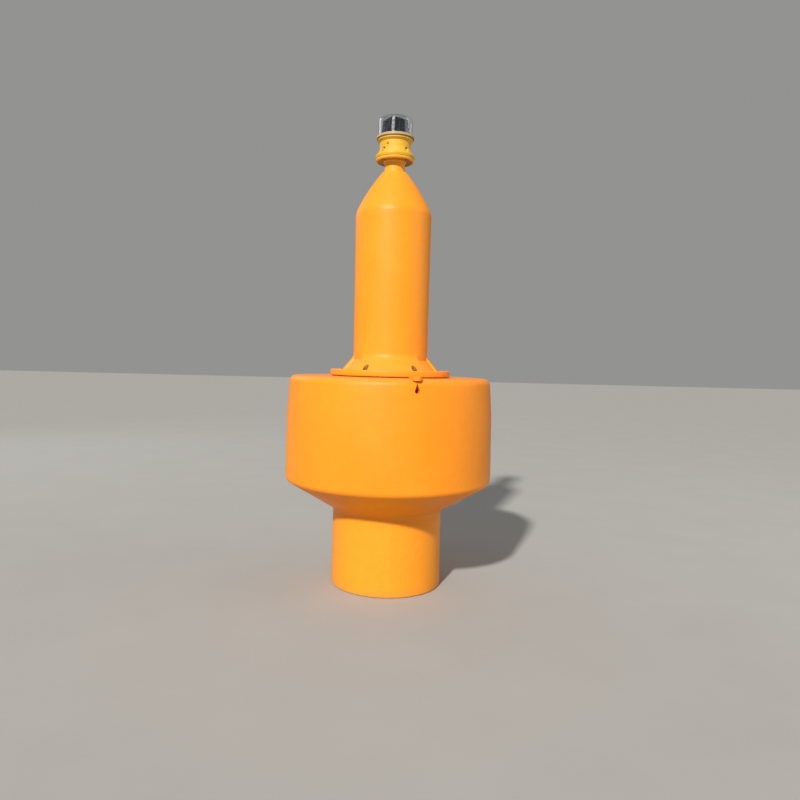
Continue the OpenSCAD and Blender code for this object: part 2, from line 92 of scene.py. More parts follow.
class Sheet:
    """A node tree with short ways to add nodes and to join them."""

    def __init__(self, tree: bpy.types.NodeTree) -> None:
        """Keeps the tree that the nodes go into."""
        self.tree = tree

    def put(self, socket: Socket, value: Feed) -> None:
        """Joins an input to another node's output, or sets its plain value.

        Args:
            socket: The input.
            value: The output or the value. A colour goes without its alpha.
        """
        if isinstance(value, Socket):
            self.tree.links.new(value, socket)
        else:
            socket.default_value = (*value, 1) if socket.type == "RGBA" else value

    def feed(self, node: bpy.types.Node, **inputs: Feed) -> None:
        """Feeds a node's inputs by name, with _ for a space."""
        for key, value in inputs.items():
            self.put(node.inputs[key.replace("_", " ")], value)

    def add(self, kind: str, inputs: dict[str | int, Feed] | None = None,
            **settings: object) -> bpy.types.Node:
        """Adds a node.

        Args:
            kind: The node's type.
            inputs: Values or outputs by input name or index.
            **settings: The node's own properties.

        Returns:
            The new node.
        """
        node = self.tree.nodes.new(kind)
        for key, value in settings.items():
            setattr(node, key, value)
        for key, value in (inputs or {}).items():
            self.put(node.inputs[key], value)
        return node

    def math(self, work: str, first: Feed, second: Feed = 0.0, clamp: bool = False) -> Socket:
        """Adds a Math node; clamp keeps its result between 0 and 1."""
        node = self.add("ShaderNodeMath", {0: first, 1: second}, operation=work, use_clamp=clamp)
        return node.outputs[0]

    def times(self, *values: Feed, clamp: bool = False) -> Socket:
        """Multiplies values in turn.

        Args:
            *values: The factors.
            clamp: Whether each product stays between 0 and 1.

        Returns:
            The product.
        """
        product = values[0]
        for value in values[1:]:
            product = self.math("MULTIPLY", product, value, clamp)
        return product

    def plus(self, first: Feed, second: Feed, clamp: bool = False) -> Socket:
        """Adds two values; clamp keeps the sum between 0 and 1."""
        return self.math("ADD", first, second, clamp)

    def minus(self, first: Feed, second: Feed) -> Socket:
        """Takes the second value from the first."""
        return self.math("SUBTRACT", first, second)

    def over(self, first: Feed, second: Feed) -> Socket:
        """Divides the first value by the second."""
        return self.math("DIVIDE", first, second)

    def largest(self, first: Feed, second: Feed) -> Socket:
        """Gives the larger of two values."""
        return self.math("MAXIMUM", first, second)

    def point(self, x: Feed, y: Feed, z: Feed) -> Socket:
        """Joins three values to one place."""
        return self.add("ShaderNodeCombineXYZ", {0: x, 1: y, 2: z}).outputs[0]

    def split(self, place: Socket) -> bpy.types.bpy_prop_collection:
        """Splits a place into its three values."""
        return self.add("ShaderNodeSeparateXYZ", {0: place}).outputs

    def mix(self, share: Feed, low: Feed, high: Feed) -> Socket:
        """Mixes two colours; a share of 1 gives the second one."""
        return self.add("ShaderNodeMix", {0: share, 6: low, 7: high}, data_type="RGBA").outputs[2]

    def fit(self, value: Socket, low: Feed, high: Feed, start: float = 0.0, end: float = 1.0) -> Socket:
        """Turns the range from low to high smoothly into the range from start to end."""
        ends = {0: value, 1: low, 2: high, 3: start, 4: end}
        return self.add("ShaderNodeMapRange", ends, interpolation_type="SMOOTHSTEP").outputs[0]

    def place(self, stretch: Sequence[float] = (1, 1, 1), shift: Sequence[float] = (0, 0, 0)) -> Socket:
        """Reads the place on the object, stretched and shifted along its axes."""
        here = self.add("ShaderNodeTexCoord").outputs["Object"]
        return self.add("ShaderNodeMapping", {0: here, 1: shift, 3: stretch}).outputs[0]

    def noise(self, place: Socket, scale: Feed, detail: float = 3.0, rough: float = 0.5) -> Socket:
        """Reads a noise that repeats scale times in a metre, with so many finer layers."""
        inputs = {"Vector": place, "Scale": scale, "Detail": detail, "Roughness": rough}
        return self.add("ShaderNodeTexNoise", inputs).outputs["Fac"]

    def flakes(self, scale: Feed) -> Socket:
        """Reads a mosaic in which each flake has its own even tone."""
        cells = self.add("ShaderNodeTexVoronoi", {"Vector": self.place(), "Scale": scale})
        return self.add("ShaderNodeSeparateColor", {0: cells.outputs["Color"]}).outputs[0]


class Group(Sheet):
    """A node group with named inputs and outputs."""

    def __init__(self, name: str, tree: str, inputs: dict[str, Kind], outputs: dict[str, Kind]) -> None:
        """Makes the empty group.

        Args:
            name: The group's name.
            tree: The type of its node tree.
            inputs: Kind of each input by name.
            outputs: Kind of each output by name.
        """
        super().__init__(bpy.data.node_groups.new(name, tree))
        self.keys: dict[tuple[str, str], str] = {}
        for way, sockets in (("INPUT", inputs), ("OUTPUT", outputs)):
            for label, kind in sockets.items():
                made = self.tree.interface.new_socket(name=label, in_out=way, socket_type=kind.value)
                self.keys[way, label] = made.identifier
        self.given = self.add("NodeGroupInput").outputs
        self.result = self.add("NodeGroupOutput")

    def __getitem__(self, label: str) -> Socket:
        """Reads one of the group's inputs."""
        return self.given[label]

    def give(self, **results: Socket) -> None:
        """Joins results to the group's outputs by name."""
        self.feed(self.result, **results)


# Effects that finishes share

COLOURED = Kind.COLOUR.each("Colour")
TINTED = COLOURED | Kind.NUMBER.each("Mask")


class Effect(Group):
    """A shader node group that several finishes share."""

    made: dict[str, bpy.types.NodeTree] = {}

    def __init__(self, name: str, inputs: dict[str, Kind], outputs: dict[str, Kind]) -> None:
        """Makes the empty group and keeps it for the finishes.

        Args:
            name: The group's name.
            inputs: Kind of each input by name.
            outputs: Kind of each output by name.
        """
        super().__init__(name, "ShaderNodeTree", inputs, outputs)
        Effect.made[name] = self.tree

    def tint(self, mask: Socket, colour: Socket) -> None:
        """Gives a mask, and the group's colour with another colour laid over it there."""
        self.give(Mask=mask, Colour=self.mix(mask, self["Colour"], colour))


def sun_fade() -> None:
    """Builds broad soft patches of a faded colour."""
    inputs = Kind.COLOUR.each("Colour", "Faded") | Kind.NUMBER.each("Amount", "Scale")
    fade = Effect("Sun fade", inputs, COLOURED)
    patch = fade.noise(fade.place(), fade["Scale"], detail=4.0, rough=0.6)
    share = fade.times(fade.fit(patch, low=0.38, high=0.66), fade["Amount"])
    fade.give(Colour=fade.mix(share, fade["Colour"], fade["Faded"]))


def rain_runs() -> None:
    """Builds thin upright runs that show in some places."""
    inputs = Kind.COLOUR.each("Colour", "Run") | Kind.NUMBER.each("Amount", "Scale")
    runs = Effect("Rain runs", inputs, COLOURED)
    thin = runs.noise(runs.place(stretch=(1, 1, 0.06)), runs["Scale"], rough=0.6)
    where = runs.noise(runs.place(stretch=(1, 1, 0.4), shift=(3.1, 0, 0)), scale=3.0, detail=2.0)
    streaks, patches = runs.fit(thin, low=0.56, high=0.74), runs.fit(where, low=0.42, high=0.62)
    share = runs.times(streaks, patches, runs["Amount"], clamp=True)
    runs.give(Colour=runs.mix(share, runs["Colour"], runs["Run"]))


def foot_soil() -> None:
    """Builds soil splashed up from the ground, with a ragged top."""
    inputs = Kind.COLOUR.each("Colour", "Soil") | Kind.NUMBER.each("Top", "Amount")
    soil = Effect("Foot soil", inputs, TINTED)
    spot = soil.place()
    ragged = soil.times(soil.noise(spot, scale=22.0, detail=4.0, rough=0.65), 0.05)
    height = soil.plus(soil.split(spot)[2], ragged)
    low = soil.add("ShaderNodeMapRange", {0: height, 1: soil["Top"], 2: 0.0}).outputs[0]
    specks = soil.noise(spot, scale=160.0, detail=4.0, rough=0.7)
    speck = soil.fit(specks, low=0.35, high=0.7, start=0.35)
    soil.tint(soil.times(low, speck, soil["Amount"], clamp=True), soil["Soil"])


def settled_dust() -> None:
    """Builds dust that lies on what faces up."""
    inputs = Kind.COLOUR.each("Colour", "Dust") | Kind.NUMBER.each("Amount")
    dust = Effect("Settled dust", inputs, TINTED)
    up = dust.split(dust.add("ShaderNodeNewGeometry").outputs["Normal"])[2]
    uneven = dust.noise(dust.place(), scale=14.0, detail=5.0, rough=0.65)
    film = dust.fit(uneven, low=0.3, high=0.75, start=0.25)
    mask = dust.times(dust.fit(up, low=0.45, high=0.98), film, dust["Amount"], clamp=True)
    dust.tint(mask, dust["Dust"])


def moulded_skin() -> None:
    """Builds the height of a moulded skin, fine grain over a slow ripple."""
    inputs = Kind.NUMBER.each("Grain", "Grain scale", "Ripple")
    skin = Effect("Moulded skin", inputs, Kind.NUMBER.each("Height"))
    spot = skin.place()
    grain = skin.times(skin.noise(spot, skin["Grain scale"], detail=2.0, rough=0.45), skin["Grain"])
    ripple = skin.times(skin.noise(spot, scale=9.0, detail=1.0, rough=0.3), skin["Ripple"])
    skin.give(Height=skin.plus(grain, ripple))


def handling_scuffs() -> None:
    """Builds thin bent scratches that show in some places."""
    scuff = Effect("Handling scuffs", Kind.NUMBER.each("Scale", "Amount"), Kind.NUMBER.each("Mask"))
    spot = scuff.place(stretch=(1, 1, 0.35), shift=(0.4, 1.7, 0.2))
    wander = scuff.add("ShaderNodeTexNoise", {"Vector": spot, "Scale": 6.0, "Detail": 2.0})
    bent = scuff.add("ShaderNodeVectorMath", {0: spot, 1: wander.outputs["Color"]}, operation="ADD")
    cells = scuff.add(
        "ShaderNodeTexVoronoi", {"Vector": bent.outputs[0], "Scale": scuff["Scale"]},
        feature="DISTANCE_TO_EDGE",
    )
    line = scuff.fit(cells.outputs["Distance"], low=0.022, high=0.004)
    where = scuff.fit(scuff.noise(spot, scale=7.0, rough=0.6), low=0.53, high=0.68)
    scuff.give(Mask=scuff.times(line, where, scuff["Amount"], clamp=True))


def zinc_spangle() -> None:
    """Builds the flakes of a zinc coat."""
    zinc = Effect("Zinc spangle", Kind.COLOUR.each("Colour", "Light") | Kind.NUMBER.each("Scale"), TINTED)
    tone = zinc.flakes(zinc["Scale"])
    zinc.give(Mask=tone, Colour=zinc.mix(zinc.times(tone, 0.6), zinc["Colour"], zinc["Light"]))


def rust_bloom() -> None:
    """Builds patches of brown rust."""
    rust = Effect("Rust bloom", COLOURED | Kind.NUMBER.each("Scale", "Amount"), TINTED)
    spot = rust.place(stretch=(1, 1, 0.7), shift=(5.2, 0.3, 1.1))
    bloom = rust.noise(spot, rust["Scale"], detail=5.0, rough=0.7)
    mask = rust.times(rust.fit(bloom, low=0.54, high=0.68), rust["Amount"], clamp=True)
    fine = rust.noise(rust.place(), scale=90.0, rough=0.6)
    rust.tint(mask, rust.mix(fine, (0.21, 0.07, 0.022), (0.40, 0.16, 0.05)))


def turned_steel() -> None:
    """Builds the fine rings of turned steel."""
    steel = Effect("Turned steel", Kind.COLOUR.each("Colour", "Light") | Kind.NUMBER.each("Scale"), TINTED)
    grain = steel.noise(steel.place(stretch=(1, 1, 7.0)), steel["Scale"], rough=0.6)
    steel.tint(grain, steel["Light"])


def build_effects() -> None:
    """Builds every shared effect once, before any finish uses them."""
    for effect in (
        sun_fade, rain_runs, foot_soil, settled_dust, moulded_skin, handling_scuffs, zinc_spangle,
        rust_bloom, turned_steel,
    ):
        effect()


# Finishes


def shade(colour: Colour, factor: float, lift: float = 0.0) -> Colour:
    """Makes a colour darker or lighter, up to full brightness."""
    return tuple(min(1.0, factor * part + lift) for part in colour)


class Surface(Sheet):
    """A material's nodes round its Principled shader."""

    def __init__(self, name: str, colour: Colour) -> None:
        """Makes the material.

        Args:
            name: Its name.
            colour: Its colour where no nodes are shown.
        """
        self.material = bpy.data.materials.new(name)
        self.material.use_nodes = True
        self.material.diffuse_color = (*colour, 1)
        super().__init__(self.material.node_tree)
        self.shader = self.tree.nodes["Principled BSDF"]

    def show(self, **inputs: Feed) -> None:
        """Feeds the shader's inputs by name, with _ for a space."""
        self.feed(self.shader, **inputs)

    def effect(self, name: str, **inputs: Feed) -> bpy.types.bpy_prop_collection:
        """Places a shared effect in the material.

        Args:
            name: The effect's name.
            **inputs: Values or outputs by input name, with _ for a space.

        Returns:
            The effect's outputs.
        """
        node = self.add("ShaderNodeGroup", node_tree=Effect.made[name])
        self.feed(node, **inputs)
        return node.outputs

    def cloud(self, scale: float, low: float, high: float) -> Socket:
        """Reads soft patches whose values run from low to high."""
        return self.fit(self.noise(self.place(), scale), 0.3, 0.7, low, high)

    def bump(self, height: Socket, depth: float) -> None:
        """Turns the shader's normal by a height pattern that is depth metres deep."""
        node = self.add("ShaderNodeBump", {"Height": height, "Strength": 1.0, "Distance": depth})
        self.show(Normal=node.outputs[0])


@dataclass(frozen=True)
class Finish:
    """What every finish has: its name, the record's slot, its main colour and its roughness."""

    name: str
    slot: str
    colour: Colour
    roughness: float

    def dress(self, surface: Surface) -> None:
        """Fills the surface's nodes, which each kind of finish does in its own way."""
        raise NotImplementedError


@dataclass(frozen=True)
class MouldedPlastic(Finish):
    """Thick polyethylene out of a heated mould, faded a little and handled.

    The tint grows from one height in metres to another. Painted shade darkens the places
    that the piece's attribute "sunk" marks, such as pockets and the underside of a top plate.
    """

    faded: Colour
    tint: Colour
    tint_amount: float
    tint_from: float
    tint_to: float
    fade: float = 0.5
    fade_scale: float = 2.6
    mottle: float = 0.16
    mottle_scale: float = 34.0
    runs: Colour = (0.5, 0.2, 0.03)
    run_amount: float = 0.12
    run_scale: float = 26.0
    scuff_amount: float = 0.16
    scuff_scale: float = 5.0
    soil: Colour = (0.20, 0.17, 0.13)
    soil_top: float = 0.06
    soil_amount: float = 0.5
    dust: Colour = (0.62, 0.50, 0.33)
    dust_amount: float = 0.18
    # Colour and amount of the painted shade, a brown of the plastic in shade, where the attribute sunk is set
    sunk_shade_colour: Colour = (0.26, 0.115, 0.014)
    sunk_shade_amount: float = 0.0

    def dress(self, surface: Surface) -> None:
        """Lays fading, runs, scuffs, soil and dust over one another.

        Args:
            surface: The surface to fill.
        """
        colour = surface.effect(
            "Sun fade", Colour=self.colour, Faded=self.faded, Amount=self.fade, Scale=self.fade_scale
        )["Colour"]
        height = surface.split(surface.place())[2]
        tinted = surface.fit(height, self.tint_from, self.tint_to, 0.0, self.tint_amount)
        colour = surface.effect(
            "Sun fade", Colour=surface.mix(tinted, colour, self.tint), Faded=shade(self.colour, 0.86),
            Amount=self.mottle, Scale=self.mottle_scale,
        )["Colour"]
        colour = surface.effect(
            "Rain runs", Colour=colour, Run=self.runs, Amount=self.run_amount, Scale=self.run_scale
        )["Colour"]
        scuff = surface.effect("Handling scuffs", Scale=self.scuff_scale, Amount=self.scuff_amount)["Mask"]
        colour = surface.mix(scuff, colour, shade(self.colour, 1.15, lift=0.05))
        soil = surface.effect(
            "Foot soil", Colour=colour, Soil=self.soil, Top=self.soil_top, Amount=self.soil_amount
        )
        dust = surface.effect(
            "Settled dust", Colour=soil["Colour"], Dust=self.dust, Amount=self.dust_amount
        )
        colour, dirt_and_shade = dust["Colour"], surface.largest(soil["Mask"], dust["Mask"])
        # Painted shade: darkens the places that the attribute sunk marks, and roughens them a little
        if self.sunk_shade_amount:
            sunk = surface.add("ShaderNodeAttribute", attribute_name="sunk").outputs["Fac"]
            sunk_shade = surface.times(surface.fit(sunk, low=0.0, high=0.12), self.sunk_shade_amount)
            colour, dirt_and_shade = surface.mix(sunk_shade, colour, self.sunk_shade_colour), surface.largest(dirt_and_shade, sunk_shade)
        cloudy = surface.cloud(6.0, self.roughness - 0.06, self.roughness + 0.08)
        dirt_and_shade_rough = surface.plus(cloudy, surface.times(dirt_and_shade, 0.3))
        rough = surface.plus(dirt_and_shade_rough, surface.times(scuff, 0.2), clamp=True)
        skin = surface.effect("Moulded skin", Grain=0.35, Grain_scale=420.0, Ripple=1.0)["Height"]
        surface.bump(surface.minus(skin, surface.times(scuff, 0.5)), depth=0.0006)
        surface.show(Base_Color=colour, Roughness=rough, Specular_IOR_Level=0.3)


@dataclass(frozen=True)
class GlossPlastic(Finish):
    """Hard injection-moulded plastic with fine dust in its corners."""

    dust: Colour = (0.5, 0.44, 0.33)
    dust_amount: float = 0.3
    coat: float = 0.15

    def dress(self, surface: Surface) -> None:
        """Lays tones, runs and dust over one another.

        Args:
            surface: The surface to fill.
        """
        toned = surface.effect(
            "Sun fade", Colour=self.colour, Faded=shade(self.colour, 0.8), Amount=0.5, Scale=30.0
        )["Colour"]
        run = surface.effect(
            "Rain runs", Colour=toned, Run=shade(self.colour, 0.45), Amount=0.3, Scale=60.0
        )["Colour"]
        dust = surface.effect("Settled dust", Colour=run, Dust=self.dust, Amount=self.dust_amount)
        cloudy = surface.cloud(40.0, self.roughness - 0.05, self.roughness + 0.08)
        rough = surface.plus(cloudy, surface.times(dust["Mask"], 0.35), clamp=True)
        skin = surface.effect("Moulded skin", Grain=0.15, Grain_scale=900.0, Ripple=0.6)
        surface.bump(skin["Height"], depth=0.0003)
        surface.show(Base_Color=dust["Colour"], Roughness=rough, Coat_Weight=self.coat, Coat_Roughness=0.12)


@dataclass(frozen=True)
class ClearPlastic(Finish):
    """Clear cover that lets the lamps out, with a film of salt and dust."""

    film: float = 0.06

    def dress(self, surface: Surface) -> None:
        """Makes the cover clear, with its film and its slight ripple.

        Args:
            surface: The surface to fill.
        """
        patches = surface.noise(surface.place(stretch=(1, 1, 0.4)), scale=55.0, detail=5.0, rough=0.7)
        rough = surface.fit(patches, low=0.55, high=0.8, start=self.roughness, end=self.film)
        skin = surface.effect("Moulded skin", Grain=0.02, Grain_scale=500.0, Ripple=0.5)
        surface.bump(skin["Height"], depth=0.0003)
        surface.show(Base_Color=self.colour, Roughness=rough, Transmission_Weight=1.0, IOR=1.49)


@dataclass(frozen=True)
class SolarCells(Finish):
    """Dark silicon cells under a clear laminate."""

    light: Colour = (0.012, 0.02, 0.045)
    dust: Colour = (0.3, 0.28, 0.24)

    def dress(self, surface: Surface) -> None:
        """Lays dust over the cells' flakes.

        Args:
            surface: The surface to fill.
        """
        cells = surface.mix(surface.flakes(210.0), self.colour, self.light)
        dust = surface.effect("Settled dust", Colour=cells, Dust=self.dust, Amount=0.06)
        surface.show(
            Base_Color=dust["Colour"], Roughness=surface.cloud(60.0, self.roughness, self.roughness + 0.1),
            Coat_Weight=0.06, Coat_Roughness=0.08, Specular_IOR_Level=0.12,
        )


@dataclass(frozen=True)
class LampLens(Finish):
    """Clear resin dome of a lamp over its yellowish chip."""

    def dress(self, surface: Surface) -> None:
        """Makes the dome bright and glossy, with fine specks.

        Args:
            surface: The surface to fill.
        """
        speck = surface.noise(surface.place(), scale=900.0, detail=2.0)
        surface.show(
            Base_Color=surface.mix(speck, self.colour, shade(self.colour, 1.2)),
            Roughness=surface.fit(speck, 0.3, 0.7, self.roughness, self.roughness + 0.1),
            Coat_Weight=1.0, Coat_Roughness=0.03,
        )


@dataclass(frozen=True)
class BlackRubber(Finish):
    """Seal rubber with dust ground into it; seal_shade paints a seal the brown of the shade in its gap."""

    faded: Colour = (0.075, 0.07, 0.062)
    dust: Colour = (0.3, 0.26, 0.2)

    def dress(self, surface: Surface) -> None:
        """Lays fading and dust over one another.

        Args:
            surface: The surface to fill.
        """
        greyed = surface.effect(
            "Sun fade", Colour=self.colour, Faded=self.faded, Amount=0.8, Scale=45.0
        )["Colour"]
        dust = surface.effect("Settled dust", Colour=greyed, Dust=self.dust, Amount=0.5)
        skin = surface.effect("Moulded skin", Grain=1.0, Grain_scale=1100.0, Ripple=0.4)
        surface.bump(skin["Height"], depth=0.0002)
        rough = surface.cloud(120.0, self.roughness - 0.1, self.roughness + 0.1)
        surface.show(Base_Color=dust["Colour"], Roughness=rough)


@dataclass(frozen=True)
class Steel(Finish):
    """Stainless fasteners, or zinc-coated mooring gear that has begun to rust."""

    light: Colour
    rust: float
    rust_scale: float = 30.0
    zinc: bool = False

    def dress(self, surface: Surface) -> None:
        """Lays rust over turned or zinc-coated metal.

        Args:
            surface: The surface to fill.
        """
        pattern, scale = ("Zinc spangle", 150.0) if self.zinc else ("Turned steel", 260.0)
        metal = surface.effect(pattern, Colour=self.colour, Light=self.light, Scale=scale)
        rust = surface.effect(
            "Rust bloom", Colour=metal["Colour"], Scale=self.rust_scale, Amount=self.rust
        )
        bare = surface.math("SUBTRACT", 1.0, rust["Mask"], clamp=True)
        shine = surface.fit(metal["Mask"], 0.2, 0.8, self.roughness, self.roughness + 0.15)
        rough = surface.plus(shine, surface.times(rust["Mask"], 0.4), clamp=True)
        surface.bump(surface.plus(surface.times(rust["Mask"], 2.0), metal["Mask"]), depth=0.00012)
        surface.show(Base_Color=rust["Colour"], Metallic=bare, Roughness=rough)


@cache
def paint(finish: Finish) -> bpy.types.Material:
    """Builds a finish's material on first use and keeps it.

    Args:
        finish: The finish.

    Returns:
        The material.
    """
    surface = Surface(finish.name, finish.colour)
    finish.dress(surface)
    return surface.material


FLOAT_PLASTIC = MouldedPlastic(
    "float_plastic", "float_plastic", (0.93, 0.285, 0.010), 0.46, faded=(0.98, 0.33, 0.016),
    tint=(0.95, 0.345, 0.018), tint_amount=0.8, tint_from=0.34, tint_to=0.22,
)
# The tower's finish paints shade into its pockets and under its top plate
TOWER_PLASTIC = MouldedPlastic(
    "tower_plastic", "tower_plastic", (0.93, 0.305, 0.012), 0.48, faded=(0.98, 0.35, 0.02),
    tint=(0.84, 0.42, 0.030), tint_amount=0.85, tint_from=1.56, tint_to=1.66, run_amount=0.08,
    scuff_amount=0.1, sunk_shade_amount=0.9,
)
LANTERN_PLASTIC = GlossPlastic(
    "lantern_plastic", "lantern_plastic", (0.76, 0.42, 0.024), 0.54, dust_amount=0.12, coat=0.01
)
PALE_PLASTIC = GlossPlastic("pale_plastic", "pale_plastic", (0.50, 0.36, 0.19), 0.42, coat=0.05)
WHITE_PLASTIC = GlossPlastic("white_plastic", "white_plastic", (0.42, 0.43, 0.44), 0.4, dust_amount=0.1)
CLEAR_PLASTIC = ClearPlastic("clear_plastic", "clear_plastic", (0.90, 0.92, 0.93), 0.004)
LAMP_LENS = LampLens("lamp", "lamp", (0.95, 0.94, 0.86), 0.12)
SOLAR_CELLS = SolarCells("solar_cells", "solar_cells", (0.004, 0.006, 0.016), 0.22)
BLACK_RUBBER = BlackRubber("black_rubber", "black_rubber", (0.022, 0.021, 0.02), 0.7)
CAP_RUBBER = BlackRubber("cap_rubber", "black_rubber", (0.34, 0.20, 0.020), 0.6, faded=(0.42, 0.26, 0.04))
# Seals in shaded gaps: partly the seals' own dark colour, partly painted shade, the brown of orange plastic
# in shadow
SEAL_SHADE = BlackRubber("seal_shade", "black_rubber", (0.17, 0.080, 0.012), 0.7, faded=(0.22, 0.12, 0.03))
STAINLESS = Steel(
    "stainless", "stainless", (0.16, 0.15, 0.14), 0.38, light=(0.3, 0.29, 0.28), rust=0.35, rust_scale=45.0
)
GALVANISED = Steel(
    "galvanised", "galvanised", (0.30, 0.31, 0.32), 0.42, light=(0.50, 0.52, 0.54), rust=0.8,
    rust_scale=20.0, zinc=True,
)
DULL_STEEL = Steel(
    "dull_steel", "stainless", (0.05, 0.042, 0.035), 0.55, light=(0.10, 0.088, 0.075), rust=0.5,
    rust_scale=60.0,
)
SILVER = Steel("silver", "stainless", (0.10, 0.10, 0.11), 0.5, light=(0.16, 0.16, 0.17), rust=0.0)

NODE_FINISHES: dict[Finish, tuple[str, ...]] = {
    FLOAT_PLASTIC: ("float_hull", "float_skirt"),
    TOWER_PLASTIC: ("tower",),
    LANTERN_PLASTIC: ("lantern_base",),
    PALE_PLASTIC: ("clamp_ring",),
    WHITE_PLASTIC: ("led_board", "solar_frame"),
    CLEAR_PLASTIC: ("cover",),
    LAMP_LENS: ("leds",),
    SOLAR_CELLS: ("solar_panel_1", "solar_panel_2", "solar_panel_3", "solar_panel_4"),
    BLACK_RUBBER: ("fill_plug", "lantern_seal"),
    CAP_RUBBER: ("port_cap",),
    SEAL_SHADE: ("foot_seal", "cover_seal"),
    STAINLESS: ("ballast_bolts", "lantern_bolts", "clamp_screws"),
    GALVANISED: ("ballast_plate", "mooring_eye", "shackle_bow", "shackle_pin"),
    DULL_STEEL: ("foot_washers", "foot_bolts", "lantern_nuts"),
}


def dress_nodes() -> None:
    """Puts each CAD node's finish on its material slots."""
    for finish, names in NODE_FINISHES.items():
        for node in (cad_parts[name] for name in names):
            if not node.data.materials:
                node.data.materials.append(None)
            for slot in node.material_slots:
                slot.material = paint(finish)


# Outlines and meshes


def span(node: str, axis: int = 2) -> Spot:
    """Gives the lowest and the highest place of a CAD node along an axis, in mm."""
    low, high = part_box(node)
    return low[axis] / MM, high[axis] / MM


def mm(**lengths: float) -> dict[str, float]:
    """Turns named lengths from millimetres to metres."""
    return {name: length * MM for name, length in lengths.items()}


def shares(count: int, first: int = 0, last: int | None = None) -> list[float]:
    """Gives the shares of a way that its steps take, from the first step to the last."""
    return [step / count for step in range(first, (count if last is None else last) + 1)]


def between(start: float, end: float, share: float) -> float:
    """Gives the value a share of the way from start to end."""
    return start + (end - start) * share


def arc(x: float, z: float, radius: float, start: float, end: float, steps: int) -> list[Spot]:
    """Gives points along an arc of an outline.

    Args:
        x: The centre's distance from the axis.
        z: The centre's height.
        radius: The arc's radius.
        start: First angle in degrees, from outwards to upwards.
        end: Last angle in degrees.
        steps: Number of straight steps.

    Returns:
        The points, as distance from the axis and height.
    """
    turns = (math.radians(start + (end - start) * step / steps) for step in range(steps + 1))
    return [(x + radius * math.cos(turn), z + radius * math.sin(turn)) for turn in turns]


def shank(radius: float, end: float, chamfer: float = 0.8) -> list[Spot]:
    """Gives the outline of a bolt's shank, from its tip up to its head at height 0."""
    return [(0, end), (radius - chamfer, end), (radius, end + chamfer), (radius, 0)]


def hexagon(flats: float, columns: int) -> np.ndarray:
    """Gives the radii of a hexagon, by its width across the flats, at even turns."""
    turn = np.arange(columns) * 360 / columns
    return flats / 2 / np.cos(np.radians(turn % 60 - 30))


def turned(rows: Sequence[tuple[float | np.ndarray, float]], columns: int) -> bpy.types.Mesh:
    """Builds a closed body from rings that lie round the Z axis.

    Args:
        rows: Radius, or one radius for each column, and height of each ring in mm, the
            lower pole first and the upper pole last.
        columns: Number of points in a ring.

    Returns:
        The mesh, in metres.
    """
    turn = np.arange(columns) * 2 * math.pi / columns
    spots: list[Point] = [(0.0, 0.0, rows[0][1] * MM)]
    for radius, height in rows[1:-1]:
        wide = np.broadcast_to(radius, columns) * MM
        spots += zip(wide * np.cos(turn), wide * np.sin(turn), [height * MM] * columns)
    spots.append((0.0, 0.0, rows[-1][1] * MM))
    faces: list[tuple[int, ...]] = []
    last, top = len(spots) - 1, len(spots) - 1 - columns
    for column in range(columns):
        after = (column + 1) % columns
        faces.append((0, 1 + after, 1 + column))
        for low in range(1, top, columns):
            high = low + columns
            faces.append((low + column, low + after, high + after, high + column))
        faces.append((top + column, top + after, last))
    mesh = bpy.data.meshes.new("turned")
    mesh.from_pydata(spots, [], faces)
    return mesh


def path_mesh(points: Sequence[Point], closed: bool = False) -> bpy.types.Mesh:
    """Makes a line of edges.

    Args:
        points: The places that it joins, in mm.
        closed: Whether its end meets its start.

    Returns:
        The mesh, in metres.
    """
    count = len(points)
    edges = [(i, (i + 1) % count) for i in range(count if closed else count - 1)]
    mesh = bpy.data.meshes.new("path")
    mesh.from_pydata([tuple(part * MM for part in point) for point in points], edges, [])
    return mesh


def read(items: bpy.types.bpy_prop_collection, field: str, width: int = 3,
         kind: type = float) -> np.ndarray:
    """Reads one field of all the items of a mesh.

    Args:
        items: The items, such as its corners.
        field: The field's name.
        width: How many numbers the field holds.
        kind: The numbers' type.

    Returns:
        The field's numbers, one row for each item.
    """
    values = np.empty(width * len(items), dtype=kind)
    items.foreach_get(field, values)
    return values.reshape(-1, width)


# Pieces


def place_in_scene(name: str, data: bpy.types.ID) -> bpy.types.Object:
    """Makes an object and puts it in the scene.

    Args:
        name: Its name.
        data: Its mesh, light or camera.

    Returns:
        The object.
    """
    thing = bpy.data.objects.new(name, data)
    bpy.context.scene.collection.objects.link(thing)
    return thing


def add(name: str, mesh: bpy.types.Mesh, finish: Finish, *nodes: str, body: Body = Body.BUOY) -> None:
    """Makes a mesh a smooth piece of one finish, sets it on its body and reports it.

    Args:
        name: The piece's name.
        mesh: Its mesh, in place.
        finish: Its finish.
        *nodes: The CAD nodes that it stands for.
        body: The body that it rides on.
    """
    mesh.name = name
    mesh.materials.clear()
    mesh.materials.append(paint(finish))
    mesh.polygons.foreach_set("material_index", np.zeros(len(mesh.polygons), dtype=np.int32))
    mesh.shade_smooth()
    mesh.set_sharp_from_angle(angle=math.radians(SHARP))
    piece = place_in_scene(name, mesh)
    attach(piece, body.value)
    if nodes:
        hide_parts(*nodes)
    LOG.info("%s: %d faces on %s", piece.name, len(mesh.polygons), body.value)


# Geometry node trees


